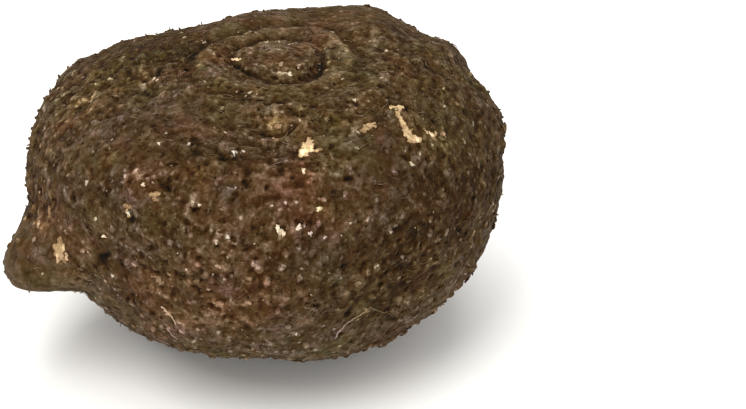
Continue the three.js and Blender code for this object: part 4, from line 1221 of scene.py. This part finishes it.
for d, R, tone in spots:
    hit, n = on_skin(d)
    if hit.z < 3:
        continue
    t, b, n = basis(np.array(n) + rg.normal(scale=0.10, size=3))
    n = n / np.linalg.norm(n)
    R = R * rg.uniform(0.85, 1.15)
    spin = rg.uniform(0, 6.28)
    t, b = math.cos(spin) * t + math.sin(spin) * b, -math.sin(spin) * t + math.cos(spin) * b
    seg = 12
    rad = R * (0.85 + 0.30 * rg.normal(size=seg)).clip(0.35, 1.5)
    wide = rg.uniform(0.5, 0.95)
    tip = rg.uniform(0.05, 0.45) * R
    verts, vals = [], []
    for f, h in ((0.94, -0.45), (1.0, 0.16), (0.60, 0.26)):
        for k in range(seg):
            w = 2 * math.pi * k / seg
            x, y = rad[k] * f * math.cos(w), rad[k] * f * math.sin(w) * wide
            up = R * h + (tip * max(0.0, x / R) ** 2 if h > 0 else 0.0)
            verts.append(np.array(hit) + t * x + b * y + n * up)
            vals.append(0.0 if h < 0 else (0.55 if h < 0.2 else 1.0))
    verts.append(np.array(hit) + n * R * 0.24)
    vals.append(1)
    verts.append(np.array(hit) - n * R * 0.5)
    vals.append(0)
    tris = []
    for k in range(2):
        for j in range(seg):
            q, w = k * seg + j, k * seg + (j + 1) % seg
            tris += [(q, w, w + seg), (q, w + seg, q + seg)]
    for j in range(seg):
        tris.append((2 * seg + j, 2 * seg + (j + 1) % seg, 3 * seg))
        tris.append(((j + 1) % seg, j, 3 * seg + 1))
    flakes.add(verts, tris, vals, tone)
flake_and_glint_ob = flakes.build("skin_flakes_and_painted_glints")


# =====================================================================
#  Materials
# =====================================================================
def lin(r, g, b):
    def one(c):
        c /= 255
        return c / 12.92 if c <= 0.04045 else ((c + 0.055) / 1.055) ** 2.4
    return (one(r), one(g), one(b), 1.0)


class Graph:
    def __init__(self, name):
        self.mat = bpy.data.materials.new(name)
        self.mat.use_nodes = True
        self.t = self.mat.node_tree
        self.t.nodes.clear()
        self.out = self.t.nodes.new("ShaderNodeOutputMaterial")
        self.bsdf = self.t.nodes.new("ShaderNodeBsdfPrincipled")
        self.t.links.new(self.bsdf.outputs[0], self.out.inputs[0])

    def set(self, sock, val):
        if isinstance(val, bpy.types.NodeSocket):
            self.t.links.new(val, sock)
        elif val is not None:
            sock.default_value = val

    def math(self, op, a, b=None, c=None, clamp=False):
        n = self.t.nodes.new("ShaderNodeMath")
        n.operation = op
        n.use_clamp = clamp
        for k, v in enumerate((a, b, c)):
            if v is not None:
                self.set(n.inputs[k], v)
        return n.outputs[0]

    def vec(self, op, a, b=None, scale=None):
        n = self.t.nodes.new("ShaderNodeVectorMath")
        n.operation = op
        self.set(n.inputs[0], a)
        if b is not None:
            self.set(n.inputs[1], b)
        if scale is not None:
            self.set(n.inputs["Scale"], scale)
        return n.outputs["Value"] if op in ("LENGTH", "DISTANCE", "DOT_PRODUCT") else n.outputs["Vector"]

    def mix(self, f, a, b, blend="MIX"):
        n = self.t.nodes.new("ShaderNodeMix")
        n.data_type = "RGBA"
        n.blend_type = blend
        n.clamp_factor = True
        self.set(n.inputs[0], f)
        self.set(n.inputs[6], a)
        self.set(n.inputs[7], b)
        return n.outputs[2]

    def range(self, v, a, b, c=0.0, d=1.0, smooth=True):
        n = self.t.nodes.new("ShaderNodeMapRange")
        n.interpolation_type = "SMOOTHSTEP" if smooth else "LINEAR"
        for k, x in enumerate((v, a, b, c, d)):
            self.set(n.inputs[k], x)
        return n.outputs[0]

    def noise(self, vec, size, detail=3.0, rough=0.55, dist=0.0, out=0):
        n = self.t.nodes.new("ShaderNodeTexNoise")
        self.set(n.inputs["Vector"], vec)
        n.inputs["Scale"].default_value = 1.0 / size
        n.inputs["Detail"].default_value = detail
        n.inputs["Roughness"].default_value = rough
        n.inputs["Distortion"].default_value = dist
        return n.outputs[out]

    def voronoi(self, vec, size, feature="F1", rand=1.0):
        n = self.t.nodes.new("ShaderNodeTexVoronoi")
        n.feature = feature
        self.set(n.inputs["Vector"], vec)
        n.inputs["Scale"].default_value = 1.0 / size
        n.inputs["Randomness"].default_value = rand
        return n

    def attr(self, name, out="Fac"):
        n = self.t.nodes.new("ShaderNodeAttribute")
        n.attribute_name = name
        return n.outputs[out]

    def ramp(self, f, stops, interp="LINEAR"):
        n = self.t.nodes.new("ShaderNodeValToRGB")
        n.color_ramp.interpolation = interp
        e = n.color_ramp.elements
        while len(e) < len(stops):
            e.new(0.5)
        for k, (pos, col) in enumerate(stops):
            e[k].position = pos
            e[k].color = col if len(col) == 4 else (*col, 1)
        self.set(n.inputs[0], f)
        return n.outputs[0]

    def place(self):
        n = self.t.nodes.new("ShaderNodeTexCoord")
        return self.vec("SCALE", n.outputs["Object"], scale=1000.0)

    def bump(self, height, dist_mm=1.0, strength=1.0, normal=None):
        n = self.t.nodes.new("ShaderNodeBump")
        n.inputs["Distance"].default_value = dist_mm * MM
        n.inputs["Strength"].default_value = strength
        self.set(n.inputs["Height"], height)
        if normal is not None:
            self.set(n.inputs["Normal"], normal)
        return n.outputs[0]


    def grey(self, v):
        n = self.t.nodes.new("ShaderNodeCombineColor")
        for k in range(3):
            self.set(n.inputs[k], v)
        return n.outputs[0]


def level_of(*rgb):
    """Where a colour sits on the tone scale: its luminance, eased."""
    r, g, b, _ = lin(*rgb)
    return (0.2126 * r + 0.7152 * g + 0.0722 * b) ** (1 / 2.2)


TONES = [(9, 4, 0), (44, 25, 2), (60, 42, 17), (73, 56, 33), (88, 70, 49), (104, 86, 64), (129, 110, 86),
         (167, 147, 120), (212, 193, 166)]
TONE_STOPS = [(0.0, lin(5, 2, 0))] + [(level_of(*c), lin(*c)) for c in TONES]
SKIN_LEVEL = 0.0425        # the skin's middling luminance


def tone_colour(g, P, lum, hue=1.0):
    """Skin colour for a luminance, then the regional hues, with a cooler cast towards the bottom that is painted bounce
    light.
    """
    rust = g.math("MULTIPLY", g.attr("rust"), hue)
    mauve = g.math("MULTIPLY", g.attr("mauve"), hue)
    t = g.math("POWER", g.math("MAXIMUM", lum, 0.0), 1 / 2.2)
    col = g.ramp(t, TONE_STOPS)
    turn = g.mix(g.range(g.noise(P, 14.0, 2.0, 0.5), 0.36, 0.64, 0.0, 1.0, smooth=False),
                 (1.02, 1.0, 0.88, 1), (0.965, 1.0, 1.17, 1))
    col = g.mix(1.0, col, turn, "MULTIPLY")
    turn = g.mix(g.range(g.noise(P, 6.0, 2.0, 0.5), 0.36, 0.64, 0.0, 1.0, smooth=False),
                 (1.05, 0.985, 0.985, 1), (0.95, 1.015, 1.0, 1))
    col = g.mix(1.0, col, turn, "MULTIPLY")
    col = g.mix(rust, col, g.mix(1.0, col, (1.18, 0.94, 1.03, 1), "MULTIPLY"))
    col = g.mix(mauve, col, g.mix(1.0, col, (0.965, 0.985, 1.34, 1), "MULTIPLY"))
    col = g.mix(g.attr("olive"), col, g.mix(1.0, col, (0.93, 1.05, 0.80, 1), "MULTIPLY"))
    col = g.mix(g.attr("tan"), col, g.mix(1.0, col, (1.10, 1.0, 0.70, 1), "MULTIPLY"))
    # cooler towards the bottom: painted bounce light from the floor
    return g.mix(g.attr("low"), col, g.mix(1.0, col, (0.96, 1.0, 1.16, 1), "MULTIPLY"))


def skin_level(g, P):
    """The skin's luminance from its region and broad mottling, with painted shade where the dark mask holds it and
    painted bounce light towards the bottom.
    """
    m = g.range(g.noise(P, 17.0, 3.0, 0.5), 0.32, 0.68, 0.66, 1.34, smooth=False)
    m = g.math("MULTIPLY", m, g.range(g.noise(P, 7.5, 3.0, 0.5), 0.34, 0.66, 0.70, 1.34, smooth=False))
    m = g.math("MULTIPLY", m, g.math("ADD", 1.0, g.math("MULTIPLY", g.attr("crown"), 0.44)))
    m = g.math("MULTIPLY", m, g.math("ADD", 1.0, g.math("MULTIPLY", g.attr("tan"), 0.55)))
    # lighter towards the bottom: painted bounce light from the floor
    m = g.math("MULTIPLY", m, g.math("ADD", 1.0, g.math("MULTIPLY", g.attr("low"), 0.40)))
    m = g.math("MULTIPLY", m, g.math("SUBTRACT", 1.0, g.math("MULTIPLY", g.attr("rust"), 0.15)))
    m = g.math("MULTIPLY", m, g.math("SUBTRACT", 1.0, g.math("MULTIPLY", g.attr("calm"), 0.10)))
    # darker in dark marks and pits, and where shade is painted in creases, grooves and broad regions
    m = g.math("MULTIPLY", m, g.math("SUBTRACT", 1.0, g.math("MULTIPLY", g.attr("dark_marks_and_shade"), 0.78)))
    return g.math("MULTIPLY", m, SKIN_LEVEL)


def split(g, colour):
    n = g.t.nodes.new("ShaderNodeSeparateColor")
    g.set(n.inputs[0], colour)
    return n.outputs


def skin_pattern(g, P):
    """Luminance and height in mm of the skin's grain, the same wherever it is laid, with painted shade in its hollows
    and painted light on its proud points.
    """
    jog = g.vec("SCALE", g.vec("SUBTRACT", g.noise(P, 4.0, 2.0, out=1), (0.5, 0.5, 0.5)), scale=2.4)
    PJ = g.vec("ADD", P, jog)
    mott = g.noise(PJ, 3.6, 3.0, 0.58)
    grain = g.noise(P, 1.15, 3.0, 0.60)
    flow = g.attr("flow", "Vector")
    long_dash = g.noise(g.vec("MULTIPLY", flow, (1.0, 0.50, 0.50)), 2.2, 3.0, 0.55)
    dash = g.noise(g.vec("MULTIPLY", flow, (1.0, 0.95, 0.95)), 1.5, 2.0, 0.5)
    cob = g.voronoi(PJ, 2.7)
    cob2 = g.voronoi(g.vec("ADD", P, g.vec("SCALE", g.vec("SUBTRACT", g.noise(P, 1.1, 1.0, out=1), (0.5, 0.5, 0.5)), scale=1.3)), 1.45)
    spot = g.voronoi(PJ, 4.8)
    pick, pick2, pick3 = split(g, cob.outputs["Color"]), split(g, cob2.outputs["Color"]), split(g, spot.outputs["Color"])
    calm_inv = g.math("SUBTRACT", 1.0, g.math("MULTIPLY", g.attr("calm"), 0.6))
    ringed = g.attr("rings")

    # light and dark, each about one on the average
    lum = g.range(mott, 0.32, 0.68, 0.52, 1.52, smooth=False)
    lum = g.math("MULTIPLY", lum, g.range(grain, 0.32, 0.68, 0.78, 1.24, smooth=False))
    lum = g.math("MULTIPLY", lum, g.range(long_dash, 0.34, 0.66, 0.84, 1.18, smooth=False))
    streak = g.range(dash, 0.36, 0.64, 0.56, 1.50, smooth=False)
    lum = g.math("MULTIPLY", lum, g.math("ADD", 1.0, g.math("MULTIPLY", g.math("SUBTRACT", streak, 1.0),
                                                            g.math("ADD", 0.20, g.math("MULTIPLY", ringed, 0.35)))))
    # painted shade in the hollows and painted light on the proud points
    lum = g.math("MULTIPLY", lum, g.range(g.attr("relief_shading"), 0.14, 0.86, 0.24, 1.72, smooth=False))
    # painted light on each cobble's domed top and painted shade at the cell edges, following the bump's cells
    dome = g.range(cob.outputs["Distance"], 0.08, 0.62, 1.0, 0.0)
    lum = g.math("MULTIPLY", lum, g.range(dome, 0.0, 1.0, 0.66, 1.26, smooth=False))
    lum = g.math("MULTIPLY", lum, g.range(cob2.outputs["Distance"], 0.1, 0.6, 1.14, 0.80, smooth=False))
    # a few cells are much paler or much darker than the rest
    pale = g.math("MULTIPLY", g.math("MULTIPLY", g.range(pick[0], 0.82, 0.98, 0.0, 1.5, smooth=False), dome), calm_inv)
    lum = g.math("MULTIPLY", lum, g.math("ADD", 1.0, pale))
    hole = g.math("MULTIPLY", g.range(pick2[1], 0.89, 0.96, 0.0, 1.0),
                  g.range(cob2.outputs["Distance"], 0.22, 0.50, 1.0, 0.0))
    lum = g.math("MULTIPLY", lum, g.math("SUBTRACT", 1.0, g.math("MULTIPLY", hole, 0.90)))
    # soft worn root marks, each ringed at its foot by painted shade
    edge = g.math("SUBTRACT", spot.outputs["Distance"], g.range(pick3[0], 0.30, 1.0, 0.02, 0.30, smooth=False))
    mark = g.math("MULTIPLY", g.range(edge, 0.06, -0.07, 0.0, 1.0), g.attr("zone"))
    mark_foot_shade = g.math("MULTIPLY", g.math("SUBTRACT", g.range(edge, 0.20, 0.04, 0.0, 1.0), g.range(edge, 0.06, -0.07, 0.0, 1.0)),
                  g.attr("zone"))
    lum = g.math("MULTIPLY", lum, g.math("ADD", 1.0, g.math("MULTIPLY", mark, g.range(pick3[1], 0.0, 1.0, 0.25, 1.5, smooth=False))))
    lum = g.math("MULTIPLY", lum, g.math("SUBTRACT", 1.0, g.math("MULTIPLY", mark_foot_shade, 0.30)))
    # calmer skin has less of it all
    even = g.math("SUBTRACT", 1.05, g.math("MULTIPLY", g.attr("calm"), 0.52))
    lum = g.math("POWER", g.math("MAXIMUM", lum, 0.02), even)
    # rubbed patches
    smudge = g.math("MULTIPLY", g.attr("pale"), g.range(grain, 0.34, 0.60, 0.55, 1.25, smooth=False))
    lum = g.math("MULTIPLY", lum, g.math("ADD", 1.0, g.math("MULTIPLY", smudge, 1.8)))
    lum = g.math("MAXIMUM", lum, g.range(smudge, 0.15, 1.0, 0.0, 2.9, smooth=False))

    h = g.math("MULTIPLY", mott, 1.3)
    h = g.math("ADD", h, g.math("MULTIPLY", grain, 0.50))
    h = g.math("ADD", h, g.math("MULTIPLY", long_dash, 0.3))
    h = g.math("ADD", h, g.math("MULTIPLY", g.math("MULTIPLY", dash, ringed), 0.35))
    h = g.math("ADD", h, g.math("MULTIPLY", g.math("MULTIPLY", dome, g.range(pick[2], 0.0, 1.0, 0.10, 0.75)), calm_inv))
    h = g.math("SUBTRACT", h, g.math("MULTIPLY", cob2.outputs["Distance"], 0.38))
    h = g.math("SUBTRACT", h, g.math("MULTIPLY", hole, 0.5))
    h = g.math("ADD", h, g.math("MULTIPLY", mark, 0.45))
    h = g.math("MULTIPLY", h, even)
    return lum, h, mott, grain


# ---- the skin
g = Graph("corm_skin_finish")
P = g.place()
REST_AT = g.attr("rest", "Vector")
lum, h, mott, grain = skin_pattern(g, P)
lum = g.math("MULTIPLY", lum, skin_level(g, P))
joint_line = g.voronoi(g.vec("ADD", P, g.vec("SCALE", g.noise(P, 4.0, 2.0, out=1), scale=2.4)), 8.5, "DISTANCE_TO_EDGE")
crack = g.range(joint_line.outputs["Distance"], 0.0, 0.045, 1.0, 0.0)
crack = g.math("MULTIPLY", crack, g.range(g.noise(P, 14.0, 2.0), 0.50, 0.62, 0.0, 1.0))
lum = g.math("MULTIPLY", lum, g.math("SUBTRACT", 1.0, g.math("MULTIPLY", crack, 0.4)))
lum = g.math("MINIMUM", lum, 0.40)
col = tone_colour(g, P, lum)

# a brown rim where the skin is broken through
col = g.mix(g.math("MULTIPLY", g.attr("rim"), 0.70), col, g.mix(1.0, col, (0.92, 0.82, 0.60, 1), "MULTIPLY"))
g.set(g.bsdf.inputs["Base Color"], col)

# mostly dry, with moist glints on proud grains
wet = g.math("MULTIPLY", g.range(g.noise(P, 7.0, 3.0), 0.52, 0.64, 0.0, 1.0), g.range(grain, 0.50, 0.60, 0.0, 1.0))
rr = g.range(mott, 0.3, 0.7, 0.92, 0.70)
rr = g.math("SUBTRACT", rr, g.math("MULTIPLY", wet, 0.30))
rr = g.math("ADD", rr, g.math("MULTIPLY", g.attr("dark_marks_and_shade"), 0.1), clamp=True)
g.set(g.bsdf.inputs["Roughness"], rr)
g.bsdf.inputs["Specular IOR Level"].default_value = 0.10
h = g.math("SUBTRACT", h, g.math("MULTIPLY", crack, 0.45))
g.set(g.bsdf.inputs["Normal"], g.bump(h))
corm.data.materials.append(g.mat)

# ---- bare tissue
g = Graph("bare_tissue_finish")
P = g.place()
chip_n = g.noise(P, 1.7, 3.0, 0.6)
fine_n = g.noise(P, 0.55, 2.0, 0.6)
amount = g.math("MULTIPLY", g.attr("along"), g.range(chip_n, 0.30, 0.70, 0.70, 1.22, smooth=False))
amount = g.math("MULTIPLY", amount, g.range(fine_n, 0.30, 0.70, 0.84, 1.13, smooth=False))
col = g.ramp(amount, [(0.13, lin(76, 56, 35)), (0.25, lin(105, 81, 54)), (0.40, lin(134, 109, 81)), (0.55, lin(164, 140, 108)),
                      (0.70, lin(191, 167, 132)), (0.85, lin(217, 192, 155)), (1.0, lin(238, 218, 188))])
blush = g.range(g.noise(P, 5.0, 2.0), 0.40, 0.60, 0.0, 1.0)
col = g.mix(1.0, col, g.mix(blush, (0.88, 0.87, 0.74, 1), (0.90, 0.85, 0.82, 1)), "MULTIPLY")
g.set(g.bsdf.inputs["Base Color"], col)
g.set(g.bsdf.inputs["Roughness"], g.range(chip_n, 0.3, 0.7, 0.85, 0.65))
g.bsdf.inputs["Specular IOR Level"].default_value = 0.15
g.set(g.bsdf.inputs["Normal"], g.bump(g.math("ADD", g.math("MULTIPLY", chip_n, 0.35), g.math("MULTIPLY", fine_n, 0.15))))
tissue_ob.data.materials.append(g.mat)

# ---- root scars: the skin's own grain, darker at the foot, which is painted shade, and a little paler on top, partly their own colour and partly painted light
g = Graph("root_scar_finish")
P = g.place()
lum, h, mott, grain = skin_pattern(g, P)
lum = g.math("MULTIPLY", lum, skin_level(g, P))
# painted shade at each dome's foot, and painted light in part towards its top
lum = g.math("MULTIPLY", lum, g.range(g.attr("along"), 0.0, 0.95, 0.72, g.range(g.attr("tone"), 0.0, 1.0, 0.95, 2.7, smooth=False)))
g.set(g.bsdf.inputs["Base Color"], tone_colour(g, P, g.math("MINIMUM", lum, 0.38)))
g.set(g.bsdf.inputs["Roughness"], g.range(mott, 0.3, 0.7, 0.92, 0.68))
g.bsdf.inputs["Specular IOR Level"].default_value = 0.10
g.set(g.bsdf.inputs["Normal"], g.bump(g.math("MULTIPLY", h, 0.8)))
scar_ob.data.materials.append(g.mat)

# ---- rootlets
g = Graph("rootlet_finish")
P = g.place()
nn = g.noise(P, 1.1, 3.0, 0.6)
lum = g.ramp(g.attr("tone"), [(0.0, (0.021,) * 3), (0.5, (0.049,) * 3), (0.84, (0.112,) * 3), (1.0, (0.30,) * 3)])
lum = g.math("MULTIPLY", lum, g.range(nn, 0.3, 0.7, 0.7, 1.28, smooth=False))
g.set(g.bsdf.inputs["Base Color"], tone_colour(g, P, lum))
g.set(g.bsdf.inputs["Roughness"], g.range(nn, 0.3, 0.7, 0.85, 0.62))
g.bsdf.inputs["Specular IOR Level"].default_value = 0.10
g.set(g.bsdf.inputs["Normal"], g.bump(g.math("MULTIPLY", nn, 0.2)))
fibre_ob.data.materials.append(g.mat)

# ---- stubs
g = Graph("root_stub_finish")
P = g.place()
nn = g.noise(P, 0.9, 3.0, 0.6)
lum = g.math("MULTIPLY", skin_level(g, P), g.range(g.attr("along"), 0.0, 1.0, 0.6, g.range(g.attr("tone"), 0.0, 1.0, 0.8, 2.3, smooth=False)))
lum = g.math("MULTIPLY", lum, g.range(nn, 0.3, 0.7, 0.65, 1.35, smooth=False))
g.set(g.bsdf.inputs["Base Color"], tone_colour(g, P, lum))
g.set(g.bsdf.inputs["Roughness"], g.range(nn, 0.3, 0.7, 0.9, 0.7))
g.bsdf.inputs["Specular IOR Level"].default_value = 0.10
g.set(g.bsdf.inputs["Normal"], g.bump(g.math("MULTIPLY", nn, 0.3)))
stub_ob.data.materials.append(g.mat)

# ---- flakes, the palest partly painted glints
g = Graph("flake_and_painted_glint_finish")
P = g.place()
nn = g.noise(P, 0.8, 3.0, 0.6)
# pale tones of dried skin, the brightest partly painted glints
lum = g.range(g.attr("tone"), 0.0, 1.0, 0.085, 0.50, smooth=False)
lum = g.math("MULTIPLY", lum, g.range(nn, 0.32, 0.68, 0.50, 1.28, smooth=False))
lum = g.math("MULTIPLY", lum, g.range(g.attr("along"), 0.0, 1.0, 0.45, 1.0))
g.set(g.bsdf.inputs["Base Color"], g.mix(1.0, tone_colour(g, P, g.math("MINIMUM", lum, 0.58), 0.3), (0.98, 1.0, 1.06, 1), "MULTIPLY"))
g.set(g.bsdf.inputs["Roughness"], g.range(nn, 0.3, 0.7, 0.72, 0.42))
g.bsdf.inputs["Specular IOR Level"].default_value = 0.35
g.set(g.bsdf.inputs["Normal"], g.bump(g.math("MULTIPLY", nn, 0.25)))
flake_and_glint_ob.data.materials.append(g.mat)

# =====================================================================
#  Floor, light, camera
# =====================================================================
bpy.ops.mesh.primitive_plane_add(size=9.0, location=(0, 0, -0.0002))
floor = bpy.context.object
floor.name = "floor"
fm = bpy.data.materials.new("floor_white")
fm.use_nodes = True
fb = fm.node_tree.nodes["Principled BSDF"]
fb.inputs["Base Color"].default_value = (0.95, 0.95, 0.94, 1)
fb.inputs["Roughness"].default_value = 0.9
fb.inputs["Specular IOR Level"].default_value = 0.15
floor.data.materials.append(fm)

world = bpy.data.worlds.new("studio")
bpy.context.scene.world = world
world.use_nodes = True
bg = world.node_tree.nodes.get("Background") or world.node_tree.nodes.new("ShaderNodeBackground")
bg.inputs["Color"].default_value = (1.0, 0.99, 0.97, 1)
bg.inputs["Strength"].default_value = 0.77


def area(name, loc, aim, size, power, colour=(1, 1, 1)):
    li = bpy.data.lights.new(name, "AREA")
    li.shape = "RECTANGLE"
    li.size, li.size_y = size
    li.energy = power
    li.color = colour
    ob = bpy.data.objects.new(name, li)
    bpy.context.scene.collection.objects.link(ob)
    ob.location = loc
    ob.rotation_euler = (Vector(aim) - Vector(loc)).to_track_quat("-Z", "Y").to_euler()
    return ob


area("key", (-0.40, -0.70, 1.20), (0, 0, 0.07), (0.8, 0.8), 12.0, (1.0, 0.98, 0.94))
area("top", (0.0, 0.08, 1.5), (0, 0, 0.07), (1.2, 1.0), 12.6, (1.0, 0.99, 0.97))
area("fill", (0.05, -1.3, 0.30), (0, 0, 0.05), (1.1, 0.5), 6.0, (1.0, 0.98, 0.96))

cam_data = bpy.data.cameras.new("camera")
cam_data.lens = 85.0
cam_data.sensor_width = 36.0
cam = bpy.data.objects.new("camera", cam_data)
bpy.context.scene.collection.objects.link(cam)
aim = Vector(here(52.0, 0.0, 68.0) * MM)
sight = Vector((0, -math.cos(LEAN), math.sin(LEAN)))
cam.location = aim + sight * 0.856
cam.rotation_euler = (-sight).to_track_quat("-Z", "Y").to_euler()
bpy.context.scene.camera = cam
bpy.context.scene.view_settings.view_transform = "Standard"
